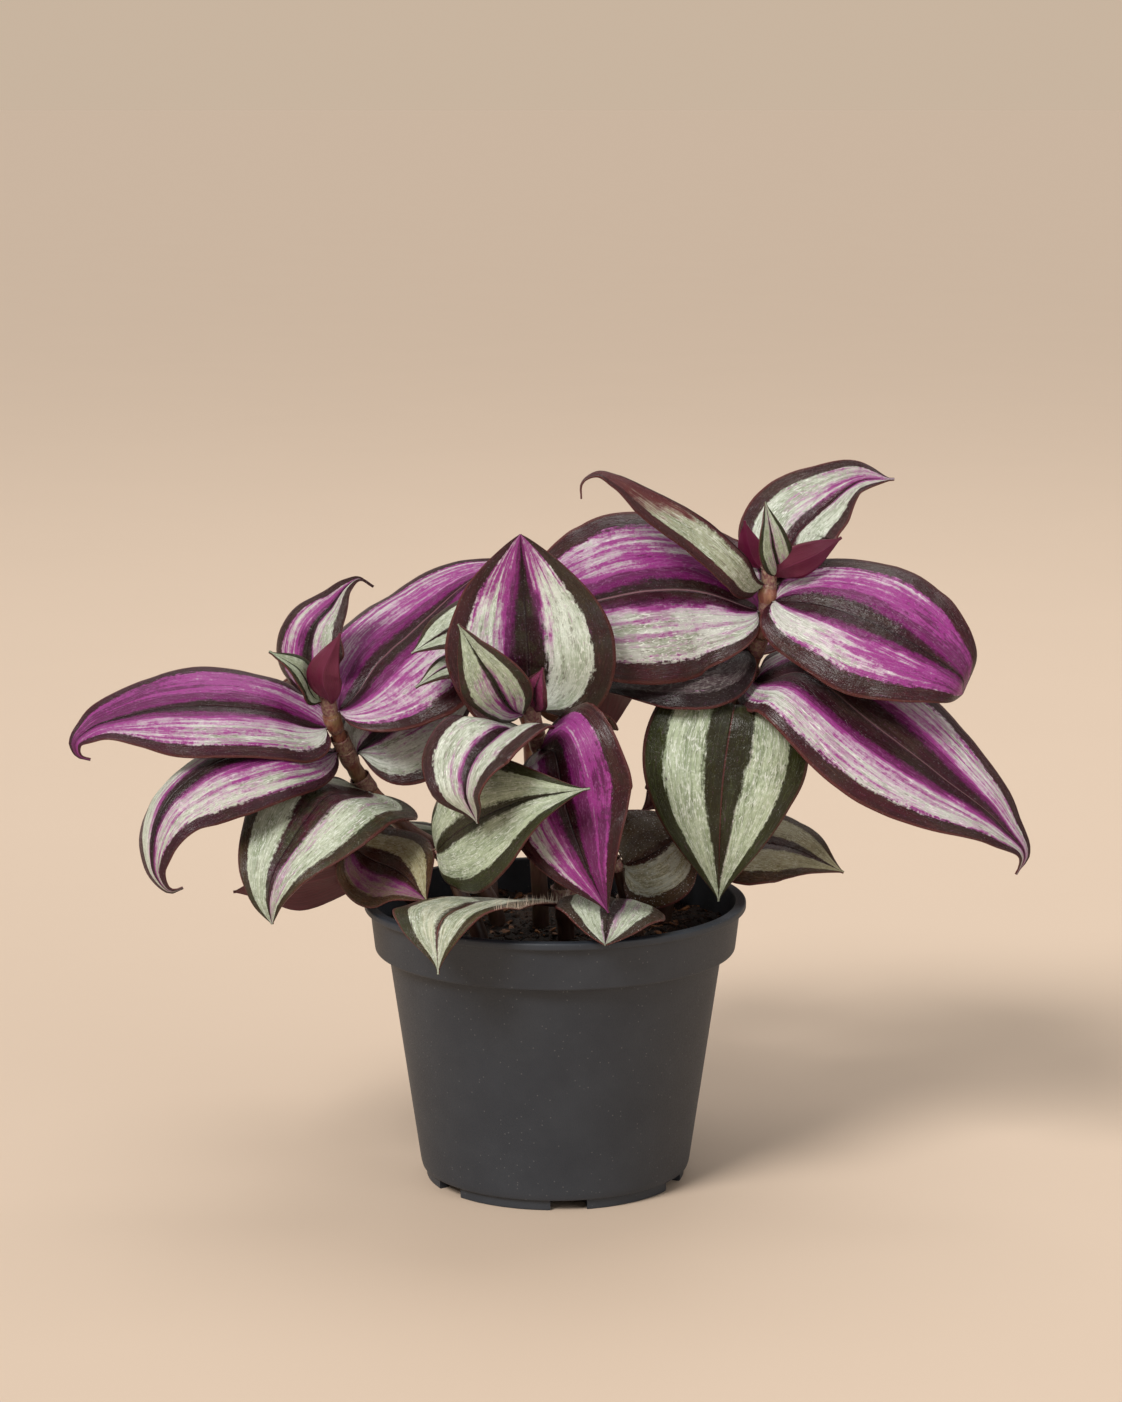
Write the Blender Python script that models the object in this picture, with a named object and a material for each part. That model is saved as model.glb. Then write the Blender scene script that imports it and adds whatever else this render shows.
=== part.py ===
"""Potted tradescantia: a round nursery pot filled with potting mix, and leafy stems that stand in it.

Lengths and places are in millimetres, turned into Blender's metres by MM where a mesh is made. The pot
stands on z = 0 with its axis on the Z axis, and the plant's best side faces -Y.
"""

import math

import bmesh
import bpy
import numpy as np
from mathutils import Matrix

MM = 0.001
GAP = 0.3  # clearance between neighbouring pieces

# The pot, a common 10.5 cm nursery pot
RIM_RADIUS = 52.5
POT_HEIGHT = 78.0
POT_WALL = 1.3
FOOT_HEIGHT = 3.0
FOOT_RADIUS = 35.8
FOOT_COUNT = 6
FOOT_WALL = 2.6
NOTCH_WIDTH = 10.0
NOTCH_HEIGHT = 2.9
NOTCH_DEPTH = 8.0
FIRST_NOTCH_ANGLE = -84.0
BODY_BOTTOM_RADIUS = 37.2
BODY_TOP_RADIUS = 46.0
COLLAR_BOTTOM_RADIUS = 49.6
COLLAR_TOP_RADIUS = 50.9
COLLAR_HEIGHT = 13.6
LIP_HEIGHT = 2.0
DRAIN_RADIUS = 4.0
DRAIN_CIRCLE_RADIUS = 25.0
DRAIN_SIDES = 16
POT_SIDES = 48

# The potting mix
SOIL_TOP = 69.0
SOIL_RINGS = 5
SOIL_SIDES = 48
SOIL_BUMP = 0.9
STEM_DEPTH = 24.0  # how far each stem stands in the mix
HOLE_CLEARANCE = 1.0
HOLE_SIDES = 12

# Stems
STEM_RADIUS = 2.3
STEM_TIP_RADIUS = 1.1
SHEATH_SWELL = 0.7
SWELL_SHARPNESS = 20.0  # the higher, the shorter the swelling at a node
STEM_SIDES = 8
STEM_STEPS = 120
STRAIGHT_START = 5.0  # length of a stem that stands straight below the mix's surface
RING_SPACING = 10.0

# Leaf blades
BLADE_THICKNESS = 0.7
TIP_HALF_WIDTH = 0.8
TIP_SHARE = 0.2  # how much of a blade, at its tip, flattens out
CLASP_SHARE = 0.25  # how much of a blade, from its base, folds up round the stem
LOBE_SHARE = 0.4  # how much of a blade its swept-back base takes up
BLADE_STATIONS = 7
HOOKED_STATIONS = 10  # for a blade whose tip curls
BLADE_LANES = 3  # strips in each half of a blade
BASE_REACH = 0.35  # how much farther than GAP a blade's base ends off its stem

# Each stem: the points that its axis follows from the surface of the mix to the shoot's end.
STEMS = {
    "stem_left": [
        (-16, 8, SOIL_TOP), (-24, 7, 84), (-42, 6, 97), (-53, 4, 110), (-58, -3, 122), (-61, -9, 133),
        (-62, -9, 139),
    ],
    "stem_low_left": [(-30, -6, SOIL_TOP), (-44, -6, 83), (-56, -5, 91), (-61, -5, 95)],
    "stem_centre": [(3, -10, SOIL_TOP), (1, -13, 94), (-3, -22, 115), (-5, -31, 130), (-7, -36, 140)],
    "stem_mid": [(-4, 4, SOIL_TOP), (-6, 0, 105), (-8, -8, 132), (-12, -14, 150)],
    "stem_front_left": [(-20, -18, SOIL_TOP), (-26, -16, 84), (-32, -13, 95)],
    "stem_front_right": [(22, -8, SOIL_TOP), (19, -10, 82), (16, -13, 92)],
    "stem_back_left": [(-18, 24, SOIL_TOP), (-24, 41, 95), (-35, 54, 121), (-41, 60, 139)],
    "stem_back_centre": [(5, 26, SOIL_TOP), (6, 42, 100), (6, 53, 130), (4, 60, 150)],
    "stem_back_right": [(28, 22, SOIL_TOP), (42, 38, 98), (48, 50, 125), (51, 55, 142)],
    "stem_right": [
        (30, 8, SOIL_TOP), (38, 6, 96), (46, 2, 119), (53, -1, 142), (57, -3, 158), (58, -3, 170),
    ],
}

# Each leaf: the stem it springs from and how far along it, the points its midrib then follows to the tip,
# which way its upper face looks at mid blade, and its flat width. "off" is the side of the stem that it
# leaves from, where that isn't the side nearest to its midrib. The rest shapes the blade, and is as in
# LEAF_DEFAULTS where it isn't given.
LEAF_DEFAULTS = {
    "belly": 0.38,  # where along the blade it is widest
    "taper": 1.2,  # above 1 draws the tip out to a point
    "stalk": 1.5,  # half the width where it leaves the stem
    "round": 0.65,  # the lower, the rounder its base
    "lobe": 3,  # how far the blade's base sweeps back on each side of the stem
    "fold": 14,  # how far each half rises from the midrib, in degrees
    "curl": 45,  # how far each half turns down again from midrib to margin
    "clasp": 25,  # how much more the halves rise where they clasp the stem
    "twist": (0, 0),  # turn of the blade about its midrib at base and tip
    "tone": "silver",  # one of LEAF_TONES
}
LEAF_TONES = {
    "silver": (0.36, 0.30, 0.33),
    "magenta": (0.36, 0.12, 0.29),
    "green": (0.27, 0.29, 0.21),
    "maroon": (0.16, 0.03, 0.08),
}
LEAVES = {
    # left shoot
    "leaf_left_long": dict(
        stem="stem_left", at=0.86, width=34, face=(-10, -62, 78), belly=0.42, taper=1.4, round=0.45,
        lobe=7, tone="magenta",
        route=[
            (-77, -12, 132), (-95, -15, 134), (-114, -18, 132), (-124, -21, 129), (-128, -22, 125),
            (-127, -22, 122), (-124, -22, 121),
        ],
    ),
    "leaf_left_drooping": dict(
        stem="stem_left", at=0.77, off=(-90, -40, 0), width=36, face=(-35, -50, 75), belly=0.4,
        taper=1.3, fold=-2, curl=55,
        route=[
            (-76, -17, 123), (-93, -24, 119), (-104, -29, 109), (-107, -31, 98), (-106, -31, 91),
            (-102, -31, 87), (-99, -31, 88),
        ],
    ),
    "leaf_left_low": dict(
        stem="stem_left", at=0.6, off=(-20, -100, 0), width=42, face=(-45, -85, 20), belly=0.3,
        taper=0.95, round=0.5, lobe=8, curl=32, clasp=0,
        route=[(-62, -17, 109), (-70, -27, 100), (-75, -33, 91), (-76, -35, 85), (-75, -35, 79)],
    ),
    "leaf_left_inner": dict(
        stem="stem_left", at=0.92, off=(80, -10, 0), width=59, face=(-44, -62, 65), belly=0.36,
        round=0.5, lobe=4, fold=6, curl=40, tone="magenta",
        route=[(-47, -4, 145), (-36, 3, 154), (-25, 11, 163), (-9, 17, 170)],
    ),
    "leaf_left_under": dict(
        stem="stem_left", at=0.72, off=(60, 60, 0), width=42, face=(0, -60, 80),
        route=[(-42, 3, 127), (-31, 7, 131), (-20, 9, 135)],
    ),
    "leaf_left_upright": dict(
        stem="stem_left", at=0.94, off=(-30, 95, 0), width=24, face=(-60, -80, 0), belly=0.34, taper=2,
        stalk=0.8, round=1.1, lobe=0, fold=20, curl=50, clasp=0,
        route=[
            (-67, -4, 146), (-65, -3, 154), (-60, -2, 160), (-56, -2, 165), (-53, -3, 167),
            (-49, -4, 165),
        ],
    ),
    "leaf_left_bud": dict(
        stem="stem_left", at=0.96, off=(-95, -40, 0), width=10, face=(30, -60, 70), stalk=0.9, lobe=0,
        fold=30, clasp=0, tone="green",
        route=[(-69, -18, 145), (-76, -21, 150)],
    ),
    "leaf_left_young": dict(
        stem="stem_left", at=0.95, off=(40, -95, 0), width=10, face=(20, 90, 10), stalk=0.7, round=1,
        lobe=0, fold=35, clasp=0, tone="maroon",
        route=[(-62, -19, 143), (-57, -21, 155)],
    ),
    # low left shoot
    "leaf_low_right": dict(
        stem="stem_low_left", at=0.9, off=(60, -30, 0), width=27, face=(5, -85, 50),
        route=[(-51, -8, 91), (-42, -17, 89), (-34, -30, 84)],
    ),
    "leaf_low_back": dict(
        stem="stem_low_left", at=0.8, width=21, face=(-10, 75, 66), tone="maroon",
        route=[(-66, -5, 84), (-88, -6, 81)],
    ),
    # centre shoot
    "leaf_centre_heart": dict(
        stem="stem_centre", at=0.92, off=(0, 90, 0), width=47, face=(-14, -98, 20), belly=0.33,
        taper=0.85, lobe=8, clasp=10,
        route=[(-7, -33, 152), (-8, -32, 167), (-9, -33, 183)],
    ),
    "leaf_centre_left": dict(
        stem="stem_centre", at=0.96, off=(-80, -40, 0), width=20, face=(-40, -85, 30), lobe=0, fold=30,
        tone="green",
        route=[(-17, -43, 148), (-25, -44, 161)],
    ),
    "leaf_centre_fold": dict(
        stem="stem_centre", at=0.87, off=(-70, -70, 0), width=35, face=(-85, -65, -5), belly=0.5,
        lobe=0, fold=34,
        route=[(-14, -45, 132), (-21, -50, 126), (-23, -53, 119), (-20, -52, 110)],
    ),
    "leaf_centre_bud": dict(
        stem="stem_centre", at=0.98, off=(50, -80, 0), width=9, face=(-50, -80, 20), lobe=0, fold=30,
        clasp=0, tone="green",
        route=[(-5, -41, 143), (-3, -41, 149)],
    ),
    "leaf_centre_down": dict(
        stem="stem_centre", at=0.8, off=(30, -90, 0), width=40, face=(-40, -90, 10), taper=1.2, lobe=0,
        fold=20, tone="magenta",
        route=[(0, -43, 127), (3, -46, 113), (8, -50, 99), (14, -51, 86)],
    ),
    # middle shoot
    "leaf_mid_upper": dict(
        stem="stem_mid", at=0.97, width=21, face=(0, -60, 80), tone="green",
        route=[(-19, -17, 158), (-29, -20, 155), (-38, -24, 150)],
    ),
    "leaf_mid_lower": dict(
        stem="stem_mid", at=0.88, width=12, face=(0, -60, 80), lobe=1.5, tone="green",
        route=[(-19, -18, 146), (-28, -21, 146), (-37, -25, 141)],
    ),
    "leaf_mid_right": dict(
        stem="stem_mid", at=0.8, width=20, face=(0, 50, 85), taper=0.8,
        route=[(10, -12, 131), (17, -11, 127)],
    ),
    # front shoots
    "leaf_front_green": dict(
        stem="stem_front_left", at=0.95, off=(0, -90, 0), width=37, face=(0, -90, 40), taper=1.4,
        lobe=0, fold=20, clasp=0, tone="green",
        route=[(-22, -38, 107), (-6, -54, 117), (9, -61, 121)],
    ),
    "leaf_front_rim": dict(
        stem="stem_centre", at=0.14, off=(-20, -90, 0), width=35, face=(-15, 0, 100), belly=0.66,
        taper=1.6, lobe=0, curl=25, tone="green",
        route=[(-9, -28, 83), (-24, -46, 86), (-30, -59, 84), (-30, -65, 73)],
    ),
    "leaf_front_middle": dict(
        stem="stem_front_right", at=0.35, off=(0, -100, 0), width=30, face=(0, -40, 90), belly=0.6,
        taper=0.9,
        route=[(16, -32, 85), (14, -46, 84), (13, -58, 79)],
    ),
    "leaf_front_curled": dict(
        stem="stem_front_right", at=0.9, off=(90, -30, 0), width=30, face=(-10, -90, 40), belly=0.33,
        round=0.45, lobe=4, tone="green",
        route=[(25, -15, 93), (32, -13, 97), (39, -8, 101)],
    ),
    # right shoot
    "leaf_right_broad": dict(
        stem="stem_right", at=0.89, off=(-90, -20, 0), width=53, face=(0, -85, 50), belly=0.45,
        taper=0.9, round=0.32, lobe=2, tone="magenta",
        route=[(39, -7, 164), (23, -14, 165), (7, -17, 162), (-16, -16, 157)],
    ),
    "leaf_right_under": dict(
        stem="stem_right", at=0.78, width=36, face=(0, -60, 80),
        route=[(39, -9, 147), (23, -12, 144), (9, -10, 138)],
    ),
    "leaf_right_rolled": dict(
        stem="stem_right", at=0.955, off=(-60, -60, 0), width=20, face=(-10, -42, 90), belly=0.42,
        taper=1.3, stalk=2, round=0.35, lobe=5, fold=-40, curl=20, clasp=0, twist=(0, 55),
        route=[
            (51, -13, 174), (39, -13, 185), (26, -12, 192), (17, -12, 196), (11, -12, 197),
            (7, -13, 194), (7, -14, 190),
        ],
    ),
    "leaf_right_top": dict(
        stem="stem_right", at=0.98, off=(80, 50, 0), width=34, face=(-50, -65, 60), taper=1.4, stalk=3,
        round=0.6, lobe=0, fold=28, curl=25, clasp=0, twist=(0, 0),
        route=[(66, 8, 178), (75, 10, 186), (83, 9, 192), (92, 6, 193)],
    ),
    "leaf_right_bud": dict(
        stem="stem_right", at=0.99, off=(60, -80, 0), width=10, face=(20, -90, 10), stalk=0.9, lobe=0,
        fold=36, clasp=0, tone="green",
        route=[(58, -12, 178), (56, -12, 189)],
    ),
    "leaf_right_young": dict(
        stem="stem_right", at=1, off=(-90, 5, 0), width=7, face=(20, 90, 10), stalk=0.7, lobe=0,
        fold=30, clasp=0, tone="maroon",
        route=[(52, -4, 177), (51, -4, 183)],
    ),
    "leaf_right_outer": dict(
        stem="stem_right", at=0.92, off=(80, -60, 0), width=44, face=(10, -80, 60), belly=0.45,
        taper=0.8, lobe=7, tone="magenta",
        route=[(71, -11, 161), (87, -18, 156), (100, -22, 149), (108, -22, 143), (109, -17, 138)],
    ),
    "leaf_right_long": dict(
        stem="stem_right", at=0.7, off=(80, -60, 0), width=44, face=(35, -75, 55), belly=0.45,
        taper=1.3, round=0.45, lobe=6, tone="magenta",
        route=[
            (66, -14, 143), (84, -22, 131), (103, -27, 117), (119, -29, 104), (125, -29, 96),
            (123, -28, 91),
        ],
    ),
    "leaf_right_hanging": dict(
        stem="stem_right", at=0.62, off=(-20, -95, 0), width=46, face=(0, -98, 20), belly=0.4,
        taper=1.2, tone="green",
        route=[(48, -16, 134), (45, -22, 117), (44, -23, 96), (44, -21, 82)],
    ),
    "leaf_right_small": dict(
        stem="stem_right", at=0.24, width=30, face=(20, -60, 80), tone="green",
        route=[(50, 4, 93), (64, 0, 92), (79, -4, 86)],
    ),
    "leaf_right_back": dict(
        stem="stem_right", at=0.45, width=32, face=(-30, 60, 70), tone="maroon",
        route=[(38, 10, 110), (31, 15, 104), (24, 16, 99)],
    ),
    # back shoots
    "leaf_back_left_wide": dict(
        stem="stem_back_left", at=0.9, width=36, face=(-10, 30, 95), tone="magenta",
        route=[(-58, 68, 134), (-77, 76, 123), (-92, 84, 109)],
    ),
    "leaf_back_left_side": dict(
        stem="stem_back_left", at=0.72, width=32, face=(-20, -20, 95),
        route=[(-52, 45, 126), (-68, 40, 124), (-84, 38, 112)],
    ),
    "leaf_back_left_high": dict(
        stem="stem_back_left", at=0.98, width=26, face=(10, 60, 80), lobe=2, fold=30,
        route=[(-34, 70, 148), (-28, 84, 150), (-26, 96, 142)],
    ),
    "leaf_back_left_hanging": dict(
        stem="stem_back_left", at=0.55, width=34, face=(-20, 90, 40), stalk=1, lobe=0, clasp=0,
        route=[(-36, 62, 114), (-43, 78, 110), (-46, 88, 97)],
    ),
    "leaf_back_left_low": dict(
        stem="stem_back_left", at=0.3, width=26, face=(-30, 20, 90), tone="green",
        route=[(-40, 40, 90), (-58, 44, 89), (-74, 48, 80)],
    ),
    "leaf_back_centre_right": dict(
        stem="stem_back_centre", at=0.86, width=34, face=(10, 30, 95),
        route=[(18, 58, 150), (32, 62, 147), (46, 68, 137)],
    ),
    "leaf_back_centre_left": dict(
        stem="stem_back_centre", at=0.97, width=30, face=(-10, 30, 95), fold=24,
        route=[(-6, 70, 155), (-16, 84, 154), (-22, 102, 143)],
    ),
    "leaf_back_centre_hanging": dict(
        stem="stem_back_centre", at=0.74, width=38, face=(10, 85, 50),
        route=[(6, 66, 136), (8, 84, 128), (10, 98, 108), (10, 102, 94)],
    ),
    "leaf_back_centre_low": dict(
        stem="stem_back_centre", at=0.35, width=26, face=(0, 40, 90), tone="green",
        route=[(6, 56, 98), (8, 72, 94), (8, 84, 84)],
    ),
    "leaf_back_right_wide": dict(
        stem="stem_back_right", at=0.93, width=38, face=(20, 20, 95), tone="magenta",
        route=[(66, 60, 148), (82, 66, 150), (100, 72, 140)],
    ),
    "leaf_back_right_side": dict(
        stem="stem_back_right", at=0.78, width=32, face=(20, -10, 95),
        route=[(62, 46, 134), (78, 42, 135), (94, 40, 126)],
    ),
    "leaf_back_right_tall": dict(
        stem="stem_back_right", at=0.98, width=28, face=(10, 60, 80), lobe=2, fold=28,
        route=[(54, 66, 150), (58, 82, 152), (62, 98, 142)],
    ),
    "leaf_back_right_hanging": dict(
        stem="stem_back_right", at=0.62, width=36, face=(30, 85, 40),
        route=[(52, 60, 122), (58, 76, 114), (60, 88, 96)],
    ),
    "leaf_back_right_low": dict(
        stem="stem_back_right", at=0.25, width=26, face=(20, 30, 90), tone="green",
        route=[(46, 46, 88), (56, 58, 86), (64, 70, 78)],
    ),
}


def smooth_route(points, count, start=None):
    """Points read evenly from a smooth curve through the given ones, which sets off along start."""
    knots = np.array(points, float)
    spans = np.linalg.norm(np.diff(knots, axis=0), axis=1)
    slopes = np.diff(knots, axis=0) / spans[:, None]
    middle = slopes[:-1] * spans[1:, None] + slopes[1:] * spans[:-1, None]
    middle /= (spans[:-1] + spans[1:])[:, None]
    slopes = np.vstack([slopes[:1] if start is None else [start], middle, slopes[-1:]])
    fine = []
    for i, span in enumerate(spans):
        for u in np.linspace(0, 1, 24, endpoint=i == len(spans) - 1):
            fine.append(
                knots[i] * (1 + 2 * u) * (1 - u) ** 2
                + slopes[i] * span * u * (1 - u) ** 2
                + knots[i + 1] * u**2 * (3 - 2 * u)
                + slopes[i + 1] * span * u**2 * (u - 1)
            )
    fine = np.array(fine)
    length = np.concatenate([[0], np.cumsum(np.linalg.norm(np.diff(fine, axis=0), axis=1))])
    wanted = np.linspace(0, length[-1], count)
    return np.stack([np.interp(wanted, length, fine[:, k]) for k in range(3)], axis=1)


def unit(vector):
    vector = np.array(vector, float)
    return vector / np.linalg.norm(vector)


def turned(vector, axis, angle):
    """The vector turned about a unit axis, in radians."""
    return (
        vector * math.cos(angle)
        + np.cross(axis, vector) * math.sin(angle)
        + axis * np.dot(axis, vector) * (1 - math.cos(angle))
    )


def added(name, data):
    obj = bpy.data.objects.new(name, data)
    bpy.context.scene.collection.objects.link(obj)
    return obj


def shape_object(name, shape, material, smooth_angle=40):
    """An object made from a bmesh in millimetres, with its faces pointing out."""
    bmesh.ops.recalc_face_normals(shape, faces=shape.faces)
    bmesh.ops.scale(shape, vec=(MM, MM, MM), verts=shape.verts)
    mesh = bpy.data.meshes.new(name)
    shape.to_mesh(mesh)
    shape.free()
    mesh.materials.append(material)
    mesh.shade_smooth()
    mesh.set_sharp_from_angle(angle=math.radians(smooth_angle))
    return added(name, mesh)


def plain_material(name, colour, roughness):
    """A material for the one object that it is named after."""
    material = bpy.data.materials.new(name)
    material.use_nodes = True
    shader = material.node_tree.nodes["Principled BSDF"]
    shader.inputs["Base Color"].default_value = (*colour, 1)
    shader.inputs["Roughness"].default_value = roughness
    shader.inputs["Metallic"].default_value = 0.0
    return material


def stem_radius(share):
    return STEM_RADIUS + (STEM_TIP_RADIUS - STEM_RADIUS) * share**2


def stem_route(name):
    """The axis of a stem from its foot in the mix to its end, and the share of it that is buried."""
    x, y, z = STEMS[name][0]
    route = smooth_route([(x, y, z - STEM_DEPTH), (x, y, z - STRAIGHT_START), *STEMS[name]], STEM_STEPS + 1)
    return route, STEM_DEPTH / np.linalg.norm(np.diff(route, axis=0), axis=1).sum()


def stem_step(buried, share):
    """The step of a stem's route at this share of its length above the mix."""
    return round((buried + (1 - buried) * share) * STEM_STEPS)


def leaf_midrib(leaf, steps=60):
    """Points along the midrib, with the tangent, side and face directions at each."""
    p = {**LEAF_DEFAULTS, **leaf}
    stem, buried = stem_route(p["stem"])
    index = stem_step(buried, p["at"])
    axis = stem[index]
    along = unit(stem[min(index + 1, STEM_STEPS)] - stem[index - 1])
    outward = np.array(p.get("off", np.array(p["route"][0], float) - axis), float)
    outward = unit(outward - along * np.dot(outward, along))
    base = axis + outward * (stem_radius(p["at"]) + SHEATH_SWELL + GAP + BASE_REACH)
    start = unit(outward + unit(np.array(p["route"][0], float) - base))
    points = smooth_route([tuple(base), *p["route"]], steps + 1, start)
    tangents = [unit(points[min(i + 1, steps)] - points[max(i - 1, 0)]) for i in range(steps + 1)]
    middle = steps * 2 // 5
    normals = [None] * (steps + 1)
    normals[middle] = np.array(p["face"], float)
    for i in [middle, *range(middle + 1, steps + 1), *range(middle - 1, -1, -1)]:
        near = normals[middle] if i == middle else normals[i - 1 if i > middle else i + 1]
        normals[i] = unit(near - tangents[i] * np.dot(near, tangents[i]))
    share = np.linspace(0, 1, steps + 1)
    sides = []
    for i in range(steps + 1):
        twist = p["twist"][0] * max(0, 1 - 2.5 * share[i]) + p["twist"][1] * max(0, 1.67 * share[i] - 0.67)
        normals[i] = turned(normals[i], tangents[i], math.radians(twist))
        sides.append(np.cross(tangents[i], normals[i]))
    return share, points, np.array(tangents), np.array(sides), np.array(normals)


def half_width(p, t):
    """Half of the blade's flat width at t along it: round at the base and drawn out at the tip."""
    if t < p["belly"]:
        shape = math.sin(math.pi / 2 * t / p["belly"]) ** p["round"]
    else:
        shape = max(0.0, math.cos(math.pi / 2 * (t - p["belly"]) / (1 - p["belly"]))) ** p["taper"]
    return max(p["width"] / 2 * shape, p["stalk"] * (1 - t) + TIP_HALF_WIDTH * t)


def blade_point(p, frame, t, s):
    """A point of the blade's middle surface, t along it and s across it from -1 to 1."""
    share, points, tangents, sides, faces = frame
    at = [np.interp(t, share, points[:, k]) for k in range(3)]
    side = unit([np.interp(t, share, sides[:, k]) for k in range(3)])
    face = unit([np.interp(t, share, faces[:, k]) for k in range(3)])
    width = half_width(p, t)
    fold = math.radians(p["fold"] + p["clasp"] * max(0.0, 1 - t / CLASP_SHARE) ** 2)
    fold *= min(1.0, (1 - t) / TIP_SHARE)
    curl = max(math.radians(p["curl"]) * min(1.0, 2.5 * (1 - t), 0.4 + 4 * t), 1e-3)
    reach = abs(s)
    out = width * (math.sin(fold) - math.sin(fold - curl * reach)) / curl
    rise = width * (math.cos(fold - curl * reach) - math.cos(fold)) / curl
    sign = 1 if s >= 0 else -1
    tangent = np.cross(face, side)
    near = min(1.0, t / LOBE_SHARE)
    back = p["lobe"] * s * s * 6.75 * near * (1 - near) ** 2
    return np.array(at) + side * out * sign + face * rise - tangent * back


def leaf_object(name, leaf):
    """A leaf blade: a folded sheet of triangles that Solidify gives its thickness."""
    p = {**LEAF_DEFAULTS, **leaf}
    frame = leaf_midrib(leaf)
    count = HOOKED_STATIONS if len(p["route"]) > 4 else BLADE_STATIONS
    stations = [0.5 - 0.5 * math.cos(math.pi * (i / count) ** 0.9) for i in range(count + 1)]
    lanes = [i / BLADE_LANES for i in range(-BLADE_LANES, BLADE_LANES + 1)]
    shape = bmesh.new()
    rows = [[shape.verts.new(blade_point(p, frame, t, s)) for s in lanes] for t in stations]
    for near, far in zip(rows, rows[1:]):
        for j in range(len(lanes) - 1):
            a, b, c, d = near[j], near[j + 1], far[j + 1], far[j]
            for half in [(a, b, c), (a, c, d)] if j < BLADE_LANES else [(a, b, d), (b, c, d)]:
                shape.faces.new(half)
    blade = shape_object(name, shape, plain_material(name, LEAF_TONES[p["tone"]], 0.4), 80)
    solidify = blade.modifiers.new("thickness", "SOLIDIFY")
    solidify.thickness = BLADE_THICKNESS * MM
    solidify.offset = 0
    return blade


def stem_object(name, nodes):
    """A round stem with a ring, and a sheath swelling, at each node that bears a leaf."""
    route, buried = stem_route(name)
    rings = max(10, int(STEM_DEPTH / buried / RING_SPACING))
    at_nodes = {stem_step(buried, node) for node in nodes}
    between = [round(i / rings * STEM_STEPS) for i in range(rings + 1)]
    steps = at_nodes | {k for k in between if all(abs(k - node) > 3 for node in at_nodes)} | {STEM_STEPS}
    curve = bpy.data.curves.new(name, "CURVE")
    curve.dimensions = "3D"
    curve.bevel_depth = MM
    curve.bevel_resolution = STEM_SIDES // 2 - 2
    curve.use_fill_caps = True
    axis = curve.splines.new("POLY")
    axis.points.add(len(steps) - 1)
    for step, point in zip(sorted(steps), axis.points):
        share = max(0.0, (step / STEM_STEPS - buried) / (1 - buried))
        swelling = max([math.exp(-(((share - node) * SWELL_SHARPNESS) ** 2)) for node in nodes])
        point.co = (*(route[step] * MM), 1)
        point.radius = stem_radius(share) + SHEATH_SWELL * swelling
    curve.materials.append(plain_material(name, (0.30, 0.12, 0.10), 0.5))
    return added(name, curve)


def revolved(profile, sides):
    """A bmesh turned about the Z axis from a profile of (radius, height) points."""
    shape = bmesh.new()
    verts = [shape.verts.new((radius, 0, height)) for radius, height in profile]
    edges = [shape.edges.new(pair) for pair in zip(verts, verts[1:])]
    turn = dict(cent=(0, 0, 0), axis=(0, 0, 1), angle=2 * math.pi, steps=sides, use_merge=True)
    bmesh.ops.spin(shape, geom=verts + edges, **turn)
    bmesh.ops.remove_doubles(shape, verts=shape.verts, dist=0.001)
    return shape


def cut(target, name, shape):
    """Takes a hidden body away from an object."""
    body = shape_object(name, shape, target.data.materials[0])
    body.hide_render = True
    body.display_type = "WIRE"
    modifier = target.modifiers.new(name, "BOOLEAN")
    modifier.operation = "DIFFERENCE"
    modifier.solver = "EXACT"
    modifier.object = body


def add_cylinder(shape, x, y, bottom, top, radius, sides):
    place = Matrix.Translation((x, y, (bottom + top) / 2))
    size = dict(radius1=radius, radius2=radius, depth=top - bottom)
    bmesh.ops.create_cone(shape, cap_ends=True, segments=sides, matrix=place, **size)


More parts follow.
